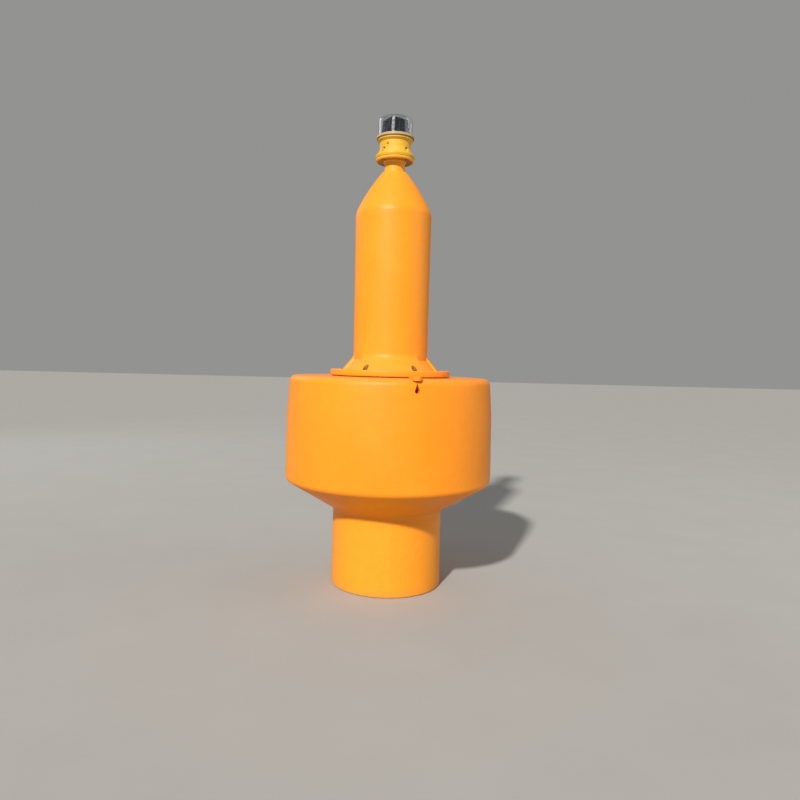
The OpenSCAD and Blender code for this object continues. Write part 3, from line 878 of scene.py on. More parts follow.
class Growth(Group):
    """A geometry node tree with named inputs, which ends realized and with its material."""

    def __init__(self, name: str, inputs: dict[str, Kind]) -> None:
        """Makes the empty tree.

        Args:
            name: The tree's name.
            inputs: Kind of each input by name, apart from its base and its finish.
        """
        every = {"Base": Kind.GEOMETRY, **inputs, "Finish": Kind.MATERIAL}
        super().__init__(name, "GeometryNodeTree", every, Kind.GEOMETRY.each("Result"))

    def index(self) -> Socket:
        """Reads each point's number."""
        return self.add("GeometryNodeInputIndex").outputs[0]

    def around(self, radius: Socket, turn: Socket, height: Socket) -> Socket:
        """Turns radius, azimuth and height into a place, with azimuth 0 on the -Y side."""
        x = self.times(radius, self.math("SINE", turn))
        return self.point(x, self.times(radius, self.math("COSINE", turn), -1.0), height)

    def copies(self, unit: Socket, count: Socket, place: Socket, **inputs: Socket) -> Socket:
        """Sets copies of a unit at places that their numbers give.

        Args:
            unit: The geometry to copy.
            count: Number of copies.
            place: The place of each.
            **inputs: Rotation or scale of each.

        Returns:
            The copies.
        """
        line = self.add("GeometryNodeMeshLine", {"Count": count, "Offset": (0, 0, 0)}).outputs[0]
        spots = self.add("GeometryNodeSetPosition", {"Geometry": line, "Position": place}).outputs[0]
        copies = {"Points": spots, "Instance": unit, **inputs}
        return self.add("GeometryNodeInstanceOnPoints", copies).outputs[0]

    def finish(self, geometry: Socket) -> "Growth":
        """Ends the tree: instances are realized and the material is set.

        Args:
            geometry: The geometry so far.

        Returns:
            The tree.
        """
        solid = self.add("GeometryNodeRealizeInstances", {0: geometry}).outputs[0]
        dressed = self.add("GeometryNodeSetMaterial", {"Geometry": solid, "Material": self["Finish"]})
        self.give(Result=dressed.outputs[0])
        return self

    def run(self, base: bpy.types.Mesh, finish: Finish, place: Matrix = Matrix(),
            **values: float) -> bpy.types.Mesh:
        """Runs the tree and keeps its result as a plain mesh.

        Args:
            base: The mesh that the tree starts from.
            finish: The result's finish.
            place: Where the result is moved to.
            **values: The tree's inputs by name, with _ for a space.

        Returns:
            The mesh.
        """
        carrier = place_in_scene("carrier", base)
        modifier = carrier.modifiers.new("growth", "NODES")
        modifier.node_group = self.tree
        for label, value in {"Finish": paint(finish), **values}.items():
            modifier[self.keys["INPUT", label.replace("_", " ")]] = value
        view = bpy.context.evaluated_depsgraph_get()
        mesh = bpy.data.meshes.new_from_object(carrier.evaluated_get(view), depsgraph=view)
        carrier.modifiers.clear()
        bpy.data.objects.remove(carrier)
        mesh.transform(place)
        return mesh

    def grow(self, name: str, base: bpy.types.Mesh, finish: Finish, *nodes: str,
             body: Body = Body.BUOY, place: Matrix = Matrix(), **values: float) -> None:
        """Runs the tree and adds its result as a piece.

        Args:
            name: The new piece's name.
            base: The mesh that the tree starts from.
            finish: The piece's finish.
            *nodes: The CAD nodes that it stands for.
            body: The body that it rides on.
            place: Where the result is moved to.
            **values: The tree's inputs by name, with _ for a space.
        """
        add(name, self.run(base, finish, place, **values), finish, *nodes, body=body)


def ring_tree() -> Growth:
    """Builds the tree that repeats a unit round the axis, in rows up a leaning line.

    The unit stands at the origin with its front along +X.

    Returns:
        The tree.
    """
    number = Kind.NUMBER.each("Radius", "Height", "Row step", "Lean", "Start")
    tree = Growth("Units on a ring", Kind.WHOLE.each("Count", "Rows") | number)
    count, lean, index = tree["Count"], tree["Lean"], tree.index()
    row = tree.math("FLOOR", tree.over(index, count))
    share = tree.over(tree.math("MODULO", index, count), count)
    azimuth = tree.plus(tree["Start"], tree.times(share, 2 * math.pi))
    climb = tree.times(row, tree["Row step"])
    radius = tree.minus(tree["Radius"], tree.times(climb, tree.math("SINE", lean)))
    height = tree.plus(tree["Height"], tree.times(climb, tree.math("COSINE", lean)))
    spin = tree.point(0.0, tree.times(lean, -1.0), tree.minus(azimuth, math.pi / 2))
    turn = tree.add("FunctionNodeEulerToRotation", {0: spin}).outputs[0]
    place = tree.around(radius, azimuth, height)
    return tree.finish(tree.copies(tree["Base"], tree.times(count, tree["Rows"]), place, Rotation=turn))


def finger_tree() -> Growth:
    """Builds the tree that prints silver lines on a tapered panel, which looks along +X.

    Returns:
        The tree.
    """
    number = Kind.NUMBER.each(
        "Low", "High", "Low width", "High width", "Face", "Thickness", "Finger width", "Busbar width"
    )
    tree = Growth("Cell fingers", Kind.WHOLE.each("Fingers", "Busbars") | number)
    low, face, thick, index = tree["Low"], tree["Face"], tree["Thickness"], tree.index()
    rise = tree.minus(tree["High"], low)
    cube = tree.add("GeometryNodeMeshCube", {"Size": (1, 1, 1)}).outputs[0]

    share = tree.over(index, tree.minus(tree["Fingers"], 1.0))
    place = tree.point(face, 0.0, tree.plus(low, tree.times(rise, share)))
    taper = tree.times(share, tree.minus(tree["High width"], tree["Low width"]))
    size = tree.point(thick, tree.plus(tree["Low width"], taper), tree["Finger width"])
    fingers = tree.copies(cube, tree["Fingers"], place, Scale=size)

    middle = tree.over(tree.plus(index, 0.5), tree["Busbars"])
    side = tree.times(tree.minus(middle, 0.5), tree["High width"])
    place = tree.point(face, side, tree.plus(low, tree.times(rise, 0.5)))
    size = tree.point(thick, tree["Busbar width"], rise)
    bars = tree.copies(cube, tree["Busbars"], place, Scale=size)

    both = tree.add("GeometryNodeJoinGeometry")
    for part in (fingers, bars):
        tree.put(both.inputs[0], part)
    return tree.finish(both.outputs[0])


def weld_tree() -> Growth:
    """Builds the tree that lays flat round ripples along a path, as a weld has.

    Returns:
        The tree.
    """
    tree = Growth("Weld bead", Kind.NUMBER.each("Radius", "Step", "Flatness", "Wander"))
    curve = tree.add("GeometryNodeMeshToCurve", {0: tree["Base"]}).outputs[0]
    points = tree.add("GeometryNodeCurveToPoints", {"Curve": curve, "Length": tree["Step"]}, mode="LENGTH")
    ball = tree.add("GeometryNodeMeshUVSphere", {"Segments": 16, "Rings": 8, "Radius": tree["Radius"]})
    ends = {2: tree.minus(1.0, tree["Wander"]), 3: tree.plus(1.0, tree["Wander"]), "Seed": 7}
    wide = tree.add("FunctionNodeRandomValue", ends, data_type="FLOAT").outputs[1]
    return tree.finish(tree.add("GeometryNodeInstanceOnPoints", {
        "Points": points.outputs["Points"], "Instance": ball.outputs["Mesh"],
        "Rotation": points.outputs["Rotation"], "Scale": tree.point(wide, wide, tree["Flatness"]),
    }).outputs[0])


def thread_tree() -> Growth:
    """Builds the tree that winds a screw thread up the Z axis.

    Returns:
        The tree.
    """
    tree = Growth("Screw thread", Kind.NUMBER.each("Radius", "Pitch", "Turns", "Depth"))
    helix = tree.add("GeometryNodeCurveSpiral", {
        "Resolution": 32, "Rotations": tree["Turns"], "Start Radius": tree["Radius"],
        "End Radius": tree["Radius"], "Height": tree.times(tree["Pitch"], tree["Turns"]),
    }).outputs[0]
    upright = tree.add("GeometryNodeSetCurveNormal", {0: helix}, mode="Z_UP").outputs[0]
    ridge = tree.add("GeometryNodeCurvePrimitiveCircle", {"Resolution": 4, "Radius": tree["Depth"]})
    swept = {"Curve": upright, "Profile Curve": ridge.outputs[0], "Fill Caps": True}
    return tree.finish(tree.add("GeometryNodeCurveToMesh", swept).outputs[0])


def tower_tree() -> Growth:
    """Builds the tree that turns the tower's outline round the axis.

    A vertex of the outline holds its distance from the axis in X, the share of the pads'
    depth that it takes in Y and its height in Z. Pads stand forward of the flare, bolt
    pockets sink into them, and nut pockets rise into the top plate. The pockets and the
    plate's underside are marked with the attribute sunk for painted shade.

    Returns:
        The tree.
    """
    number = Kind.NUMBER.each(
        "Crowding", "Pad count", "Pad half angle", "Pad depth", "Pad softness", "Pocket ring",
        "Pocket radius", "Pocket floor", "Pocket top", "Nut count", "Nut ring", "Nut radius",
        "Nut floor", "Plate height", "Plate reach", "Underside grime", "Snap", "Weld",
    )
    tree = Growth("Moulded tower", Kind.WHOLE.each("Rows", "Around") | number)
    rows, columns = tree["Rows"], tree.plus(tree["Around"], 1.0)
    grid = tree.add("GeometryNodeMeshGrid", {"Vertices X": columns, "Vertices Y": rows}).outputs["Mesh"]
    index = tree.index()
    column = tree.math("FLOOR", tree.over(tree.plus(index, 0.5), rows))
    outline = tree.add("GeometryNodeSampleIndex", {
        "Geometry": tree["Base"], "Value": tree.add("GeometryNodeInputPosition").outputs[0],
        "Index": tree.minus(index, tree.times(column, rows)),
    }, data_type="FLOAT_VECTOR").outputs[0]
    radius, share, height = tree.split(outline)

    bolts = tree.times(tree["Pad count"], 2.0)
    even = tree.times(tree.over(column, tree["Around"]), 2 * math.pi)
    crowd = tree.times(tree.math("SINE", tree.times(even, bolts)), tree["Crowding"])
    turn = tree.plus(even, tree.over(crowd, bolts))

    pad_pitch = tree.over(2 * math.pi, tree["Pad count"])
    half_pitch = tree.times(pad_pitch, 0.5)
    from_pad = tree.math("MODULO", tree.plus(turn, half_pitch), pad_pitch)
    off_pad = tree.math("ABSOLUTE", tree.minus(from_pad, half_pitch))
    inside = tree.times(tree.minus(tree["Pad half angle"], off_pad), radius)
    soft = tree["Pad softness"]
    mask = tree.add(
        "ShaderNodeMapRange", {0: inside, 1: tree.times(soft, -1.0), 2: soft},
        interpolation_type="SMOOTHERSTEP",
    ).outputs[0]
    radius = tree.plus(radius, tree.times(share, mask, tree["Pad depth"]))

    above = tree.math("GREATER_THAN", height, tree["Pocket floor"])
    foot = tree.times(above, tree.math("LESS_THAN", height, tree["Pocket top"]))
    radius, turn, height, sunk = pocket(tree, "Pocket", (radius, turn, height), bolts, foot)
    plate = tree.math("COMPARE", height, tree["Plate height"])
    tree.put(plate.node.inputs[2], tree["Plate reach"])
    nuts = tree["Nut count"]
    radius, turn, height, raised = pocket(tree, "Nut", (radius, turn, height), nuts, plate, six_sided=True)

    # Painted shade: the bolt pockets, the nut pockets and the top plate's underside go into the attribute
    # sunk, which the finish darkens
    pocket_and_underside_shade = tree.largest(raised, tree.times(plate, tree["Underside grime"]))
    marked = tree.add(
        "GeometryNodeStoreNamedAttribute",
        {"Geometry": grid, "Name": "sunk", "Value": tree.largest(sunk, pocket_and_underside_shade)},
        data_type="FLOAT", domain="POINT",
    ).outputs[0]
    placed = {"Geometry": marked, "Position": tree.around(radius, turn, height)}
    shell = tree.add("GeometryNodeSetPosition", placed).outputs[0]
    merged = tree.add("GeometryNodeMergeByDistance", {"Geometry": shell, "Distance": tree["Weld"]})
    return tree.finish(merged.outputs[0])


def pocket(tree: Growth, name: str, place: tuple[Socket, Socket, Socket], count: Socket, where: Socket,
           six_sided: bool = False) -> tuple[Socket, Socket, Socket, Socket]:
    """Sinks pockets into a surface and draws the nearest points onto their edges.

    The tree's inputs give the ring that the pockets lie on, their radius, which is half the
    width across the flats of a hexagon, and the height of their ends. The first pocket is
    half a pitch from azimuth 0.

    Args:
        tree: The tree.
        name: The first word of those inputs.
        place: Radius, azimuth and height of each point.
        count: Number of pockets.
        where: 1 where pockets may be cut.
        six_sided: Whether a pocket is a hexagon.

    Returns:
        The new radius, azimuth and height, and 1 where the surface is sunk.
    """
    radius, turn, height = place
    ring, size, floor = (tree[f"{name} {label}"] for label in ("ring", "radius", "floor"))
    pitch = tree.over(2 * math.pi, count)
    off = tree.minus(tree.math("MODULO", turn, pitch), tree.times(pitch, 0.5))
    along = tree.minus(tree.times(radius, tree.math("COSINE", off)), ring)
    across = tree.times(radius, tree.math("SINE", off))
    if six_sided:
        away = tree.math("ABSOLUTE", across)
        for side in (math.radians(30), math.radians(150)):
            lean = tree.plus(tree.times(along, math.cos(side)), tree.times(across, math.sin(side)))
            away = tree.largest(away, tree.math("ABSOLUTE", lean))
    else:
        away = tree.math("SQRT", tree.plus(tree.times(along, along), tree.times(across, across)))
    gap, snap = tree.minus(away, size), tree["Snap"]
    near = tree.math("LESS_THAN", tree.math("ABSOLUTE", gap), snap)
    wall = tree.times(tree.math("SIGN", gap), tree.times(snap, 0.3))
    drawn = tree.over(tree.plus(size, wall), tree.largest(away, 0.0001))
    scale = tree.plus(1.0, tree.times(near, where, tree.minus(drawn, 1.0)))
    out = tree.plus(ring, tree.times(along, scale))
    new_off = tree.math("ARCTAN2", tree.times(across, scale), out)
    new_turn = tree.plus(turn, tree.minus(new_off, off))
    new_radius = tree.over(out, tree.math("COSINE", new_off))
    sunk = tree.times(tree.math("LESS_THAN", gap, 0.0), where)
    new_height = tree.plus(height, tree.times(sunk, tree.minus(floor, height)))
    return new_radius, new_turn, new_height, sunk


# Sub-assemblies


@dataclass
class Float:
    """The float and its skirt, one moulding, with its turned walls shaded as one curve.

    Vertices closer than the weld in mm are merged. A wall faces sideways at least so much
    and straight out from the axis at least so much. Walls that meet at less than the crease
    in degrees are one curve.
    """

    weld: float = 0.001
    sideways: float = 0.15
    outward: float = 0.9995
    crease: float = 30.0

    def build(self) -> None:
        """Makes a merged copy of each CAD half, lets it stand for the half and smooths it."""
        for name, node in (("float_shell", "float_hull"), ("skirt_shell", "float_skirt")):
            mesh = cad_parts[node].data.copy()
            given = read(mesh.corner_normals, "vector").ravel()
            mesh.attributes.new("given", "FLOAT_VECTOR", "CORNER").data.foreach_set("vector", given)
            work = bmesh.new()
            work.from_mesh(mesh)
            bmesh.ops.remove_doubles(work, verts=work.verts, dist=self.weld * MM)
            work.to_mesh(mesh)
            work.free()
            add(name, mesh, FLOAT_PLASTIC, node)
            self.curve(mesh)

    def curve(self, mesh: bpy.types.Mesh) -> None:
        """Turns the corners' normals of the walls that lie round the axis to one smooth curve.

        Args:
            mesh: The mesh, all triangles.
        """
        corners = read(mesh.loops, "vertex_index", 1, np.int32).ravel()
        places = read(mesh.vertices, "co")[corners].reshape(-1, 3, 3)
        normals = read(mesh.attributes["given"].data, "vector").reshape(-1, 3, 3)
        mesh.attributes.remove(mesh.attributes["given"])
        middle, out = places.mean(axis=1), read(mesh.polygons, "normal")
        wide, facing = np.hypot(*middle[:, :2].T), np.hypot(*out[:, :2].T)
        ahead = (middle[:, :2] * out[:, :2]).sum(axis=1)
        walls = np.flatnonzero((facing > self.sideways) & (ahead > self.outward * wide * facing))
        lean = np.degrees(np.arcsin(np.clip(out[:, 2], -1.0, 1.0)))
        rows = np.round(places[:, :, 2] / MM, 1)
        sides: dict[tuple[float, int], list[float]] = {}
        for face in walls:
            sides.setdefault((rows[face].min(), 1), []).append(lean[face])
            sides.setdefault((rows[face].max(), -1), []).append(lean[face])
        means = {key: float(np.mean(values)) for key, values in sides.items()}
        for face in walls:
            for corner in range(3):
                both = [means[rows[face, corner], side] for side in (1, -1)
                        if (rows[face, corner], side) in means]
                near = [mean for mean in both if abs(mean - lean[face]) < self.crease]
                slope = math.radians(sum(near) / 2 if len(near) == 2 else lean[face])
                x, y = places[face, corner, :2] / np.hypot(*places[face, corner, :2])
                normals[face, corner] = (x * math.cos(slope), y * math.cos(slope), math.sin(slope))
        mesh.normals_split_custom_set(normals.reshape(-1, 3))


def unpadded(spots: Sequence[Spot]) -> list[Point]:
    """Gives points of the tower's outline that take no share of the pads' depth."""
    return [(r, 0.0, z) for r, z in spots]


@dataclass
class Tower:
    """The moulded tower: flange, padded flare, tube, shoulder, neck and top plate. Sizes in mm.

    Rows of the outline are close together where pockets are cut, and else as far apart as
    the shape allows.
    """

    foot_z: float = span("tower")[0]
    top_z: float = span("tower")[1]
    foot_r: float = span("tower", 0)[1]
    foot_t: float = 23.0
    edge_r: float = 4.0
    under_rings: tuple[float, ...] = (0, 60, 130, 190)
    foot_rings: tuple[float, ...] = (224, 214, 206, 199, 193)
    pad_count: float = 3.0
    pad_start_r: float = 214.0
    pad_base_r: float = 188.0
    pad_h: float = 51.0
    pad_depth: float = 10.0
    pad_soft: float = 3.5
    pad_half_angle: float = 45.5
    pad_fade: float = 12.3
    tube_low_r: float = 146.0
    tube_high_r: float = 151.0
    tube_h: float = 618.0
    nose_h: float = 165.0
    nose_soft: float = 12.0
    nose_top_r: float = 51.0
    nose_bulge: float = 6.5
    neck_r: float = 41.0
    neck_h: float = 45.0
    neck_fillet: float = 6.0
    plate_r: float = 76.0
    plate_rim: float = 7.0
    plate_edge: float = 0.6
    plate_t: float = 12.0
    top_rings: tuple[float, ...] = (60, 30, 0)
    pocket_r: float = 10.5
    pocket_ring: float = 181.0
    pocket_sink: float = 12.0
    nut_count: float = 4.0
    nut_ring: float = 64.0
    nut_half: float = 6.8
    nut_depth: float = 7.5
    # How much painted shade the top plate's underside gets
    underside_shade: float = 0.09
    fine_from: float = 189.0
    fine_band: float = 20.0
    row_step: float = 1.15
    columns: int = 432
    crowding: float = 0.45
    snap: float = 0.9
    reach: float = 0.2
    weld: float = 0.02

    def outline(self) -> list[Point]:
        """Draws the outline from the foot's middle to the top's middle.

        Returns:
            Distance from the axis, share of the pads' depth and height of each point.
        """
        top = self.foot_z + self.foot_t
        tube_top = top + self.tube_h
        nose_top = tube_top + self.nose_h
        plate_z = nose_top + self.neck_h
        head = self.nose(tube_top, nose_top) + self.neck(nose_top, plate_z) + self.plate(plate_z)
        return unpadded(self.foot(top)) + self.flare(top, tube_top) + unpadded(head)

    def foot(self, top: float) -> list[Spot]:
        """Draws the foot's underside and its rounded edge.

        Args:
            top: Height of the foot's top.

        Returns:
            Distance from the axis and height of each point.
        """
        rim, edge = self.foot_r - self.edge_r, self.edge_r
        rounds = arc(rim, self.foot_z + edge, edge, -90, 0, 4) + arc(rim, top - edge, edge, 0, 90, 4)
        return [(r, self.foot_z) for r in self.under_rings] + rounds

    def flare(self, top: float, tube_top: float) -> list[Point]:
        """Draws the foot's top, the flare and the tube.

        Args:
            top: Height of the foot's top.
            tube_top: Height of the tube's top.

        Returns:
            Distance from the axis, share of the pads' depth and height of each point.
        """
        flare_r = self.pad_base_r - self.pad_depth
        slope = self.pad_h / (self.pad_base_r - self.tube_low_r)
        fine = [self.fine_from]
        while fine[-1] > flare_r - self.fine_band:
            fine.append(fine[-1] - self.row_step)
        points = [
            (r, max(0.0, (self.pad_start_r - r) / (self.pad_start_r - flare_r)), top)
            for r in (*self.foot_rings, *fine) if r > flare_r
        ]
        wide = [between(fine[-1], self.tube_low_r, share) for share in shares(9)]
        for r in [r for r in fine[:-1] if r <= flare_r] + wide:
            points.append((r, 1.0, top + slope * (flare_r - r)))
        flare_top = top + slope * (flare_r - self.tube_low_r)
        fade_top = top + self.pad_h + self.pad_fade
        for share in shares(14, first=1):
            points.append((self.tube_low_r, (1 - share) ** 2, between(flare_top, fade_top, share)))
        for share in shares(13, first=1, last=12):
            height = between(fade_top, tube_top - self.nose_soft, share)
            points.append((between(self.tube_low_r, self.tube_high_r, share), 0.0, height))
        return points

    def nose(self, low: float, high: float) -> list[Spot]:
        """Draws the shoulder's bulging side, which starts softly from the tube.

        Args:
            low: Height of the tube's top.
            high: Height of the shoulder's upper end.

        Returns:
            Distance from the axis and height of each point.
        """
        wide = self.tube_high_r - self.nose_top_r
        chord = math.hypot(wide, high - low)
        radius = (chord ** 2 / 4 + self.nose_bulge ** 2) / (2 * self.nose_bulge)
        lean = math.degrees(math.atan2(wide, high - low))
        half = math.degrees(math.asin(chord / 2 / radius))
        turn = math.radians(lean - half)
        centre = (self.tube_high_r - radius * math.cos(turn), low - radius * math.sin(turn))
        side = arc(*centre, radius, lean - half, lean + half, 24)
        start, bend, end = (self.tube_high_r, low - self.nose_soft), (self.tube_high_r, low), side[2]
        soft = [
            tuple((1 - t) ** 2 * a + 2 * t * (1 - t) * b + t ** 2 * c for a, b, c in zip(start, bend, end))
            for t in shares(6)
        ]
        return soft + side[3:]

    def neck(self, low: float, high: float) -> list[Spot]:
        """Draws the neck with a fillet at both ends."""
        inner, fillet = self.neck_r + self.neck_fillet, self.neck_fillet
        return arc(inner, low + fillet, fillet, 270, 180, 5) + arc(inner, high - fillet, fillet, 180, 90, 5)

    def plate(self, low: float) -> list[Spot]:
        """Draws the top plate's underside, its rim and its top.

        Args:
            low: Height of the underside.

        Returns:
            Distance from the axis and height of each point.
        """
        inner, outer = self.neck_r + self.neck_fillet, self.plate_r - self.plate_rim
        count, edge = int((outer - inner) / self.row_step), self.plate_edge
        under = [(between(inner, outer, share), low) for share in shares(count, first=1, last=count - 1)]
        rim = arc(outer, low + self.plate_rim, self.plate_rim, -90, 0, 6)
        top = [(self.plate_r, self.top_z - edge), (self.plate_r - edge, self.top_z)]
        return under + rim + top + [(r, self.top_z) for r in self.top_rings]

    def build(self) -> None:
        """Makes the tower's shell and lets it stand for the CAD tower."""
        points = self.outline()
        base = path_mesh([(r, share / MM, z) for r, share, z in points])
        top, plate_z = self.foot_z + self.foot_t, self.top_z - self.plate_t
        tower_tree().grow(
            "tower_shell", base, TOWER_PLASTIC, "tower", Rows=len(points), Around=self.columns,
            Crowding=self.crowding, Pad_count=self.pad_count, Nut_count=self.nut_count,
            Pad_half_angle=math.radians(self.pad_half_angle), Underside_grime=self.underside_shade,
            **mm(
                Pad_depth=self.pad_depth, Pad_softness=self.pad_soft, Pocket_ring=self.pocket_ring,
                Pocket_radius=self.pocket_r, Pocket_floor=top - self.pocket_sink,
                Pocket_top=top + self.pad_h, Nut_ring=self.nut_ring, Nut_radius=self.nut_half,
                Nut_floor=plate_z + self.nut_depth, Plate_height=plate_z, Plate_reach=self.reach,
                Snap=self.snap, Weld=self.weld,
            ),
        )


@dataclass
class FootFasteners:
    """The socket screws that hold the tower's foot on the float. Sizes in mm."""

    count: int = 6
    ring: float = 181.0
    first_azimuth: float = 30.0
    head_r: float = 9.0
    head_h: float = 12.0
    head_edge: float = 0.5
    crown: float = 0.9
    crown_rise: float = 0.2
    grip_depth: float = 0.35
    grip_low: float = 1.4
    grip_high: float = 1.8
    socket_af: float = 10.0
    socket_depth: float = 6.0
    socket_edge: float = 0.4
    socket_cone: float = 0.8
    shank_r: float = 6.0
    low: float = span("foot_bolts")[0]
    high: float = span("foot_bolts")[1]
    columns: int = 48

    def screw(self) -> bpy.types.Mesh:
        """Builds one screw with its head's underside at height 0.

        Returns:
            The mesh.
        """
        grip = self.head_r - self.grip_depth * (np.arange(self.columns) % 2)
        socket, mouth = hexagon(self.socket_af, self.columns), self.socket_edge
        top, edge, rise = self.head_h, self.head_edge, self.crown_rise
        floor = top - self.socket_depth
        return turned([
            *shank(self.shank_r, self.low - self.high + top), (self.head_r - edge, 0), (self.head_r, edge),
            (grip, self.grip_low), (grip, top - self.grip_high),
            (self.head_r - rise, top - self.crown - rise), (self.head_r - self.crown, top),
            (socket + mouth, top), (socket, top - mouth), (socket, floor), (0, floor - self.socket_cone),
        ], self.columns)

    def build(self, ring: Growth) -> None:
        """Sets the screws round the foot, with the tree that repeats a unit on a ring."""
        place = mm(Radius=self.ring, Height=self.high - self.head_h)
        ring.grow("foot_screws", self.screw(), DULL_STEEL, "foot_bolts", Count=self.count, Rows=1,
                  Start=math.radians(self.first_azimuth), **place)


@dataclass
class FlangeBolts:
    """The hex bolts that hold the lantern on the top plate. Sizes in mm."""

    count: int = 4
    ring: float = 64.0
    first_azimuth: float = 45.0
    shank_r: float = 4.0
    head_af: float = 13.0
    head_h: float = 5.5
    face_in: float = 0.3
    face_t: float = 0.4
    face_step: float = 0.05
    crown: float = 0.5
    low: float = span("lantern_bolts")[0]
    high: float = span("lantern_bolts")[1]
    columns: int = 48

    def bolt(self) -> bpy.types.Mesh:
        """Builds one hex bolt with its head's underside at height 0.

        Returns:
            The mesh.
        """
        flats, half, top = hexagon(self.head_af, self.columns), self.head_af / 2, self.head_h
        inner, face, crown = self.face_in, self.face_t, self.crown
        return turned([
            *shank(self.shank_r, self.low - self.high + top), (half - face, 0), (half - inner, face),
            (flats, face + self.face_step), (flats, top - 2 * crown),
            (np.minimum(flats, half + inner), top - crown), (half - crown, top), (0, top),
        ], self.columns)

    def build(self, ring: Growth) -> None:
        """Sets the bolts round the plate, with the tree that repeats a unit on a ring."""
        place = mm(Radius=self.ring, Height=self.high - self.head_h)
        ring.grow("flange_bolts", self.bolt(), STAINLESS, "lantern_bolts", Count=self.count, Rows=1,
                  Start=math.radians(self.first_azimuth), **place)


@dataclass
class RingScrews:
    """The small round-headed screws in the clamp ring's side. Sizes in mm."""

    count: int = 6
    first_azimuth: float = 90.0
    radius: float = 2.5
    thick: float = 1.5
    side_h: float = 0.6
    round_in: float = 0.35
    round_h: float = 1.15
    flat_in: float = 1.0
    socket_af: float = 2.0
    socket_edge: float = 0.1
    height: float = sum(span("clamp_screws")) / 2
    ring_r: float = span("clamp_ring", 0)[1]
    columns: int = 24

    def screw(self) -> bpy.types.Mesh:
        """Builds one screw, which looks along +X.

        Returns:
            The mesh.
        """
        socket, edge, top = hexagon(self.socket_af, self.columns), self.socket_edge, self.thick
        mesh = turned([
            (0, 0), (self.radius, 0), (self.radius, self.side_h), (self.radius - self.round_in, self.round_h),
            (self.radius - self.flat_in, top), (socket + edge, top), (socket, top - edge),
            (socket, self.side_h), (0, self.side_h - edge),
        ], self.columns)
        mesh.transform(TO_X)
        return mesh

    def build(self, ring: Growth) -> None:
        """Sets the screws round the clamp ring, with the tree that repeats a unit on a ring."""
        place = mm(Radius=self.ring_r - self.thick, Height=self.height)
        ring.grow("ring_screws", self.screw(), STAINLESS, "clamp_screws", Count=self.count, Rows=1,
                  Start=math.radians(self.first_azimuth), **place)


@dataclass
class Cover:
    """The clear cover, with its lip, its inside and its low crown. Sizes in mm."""

    low: float = span("cover")[0]
    high: float = span("cover")[1]
    lip_r: float = span("cover", 0)[1]
    lip_w: float = 2.0
    lip_h: float = 3.0
    thick: float = 3.0
    edge: float = 9.0
    crown: float = 1.0
    soft: float = 0.4
    columns: int = 192

    def build(self) -> None:
        """Turns the cover and lets it stand for the CAD cover."""
        wall, lip, low, soft = self.lip_r - self.lip_w, self.lip_r, self.low, self.soft
        shelf, inner, edge = low + self.lip_h, wall - self.thick, self.edge
        centre = (wall - edge, self.high - self.crown - edge)
        mesh = turned([
            (0, self.high - self.thick), *arc(*centre, edge - self.thick, 80, 0, 8), (inner, low + soft),
            (inner + soft, low), (lip - soft, low), (lip, low + soft), (lip, shelf - soft),
            (lip - soft, shelf), (wall + soft, shelf), (wall, shelf + soft), *arc(*centre, edge, 0, 80, 10),
            (0, self.high),
        ], self.columns)
        add("cover_shell", mesh, CLEAR_PLASTIC, "cover")


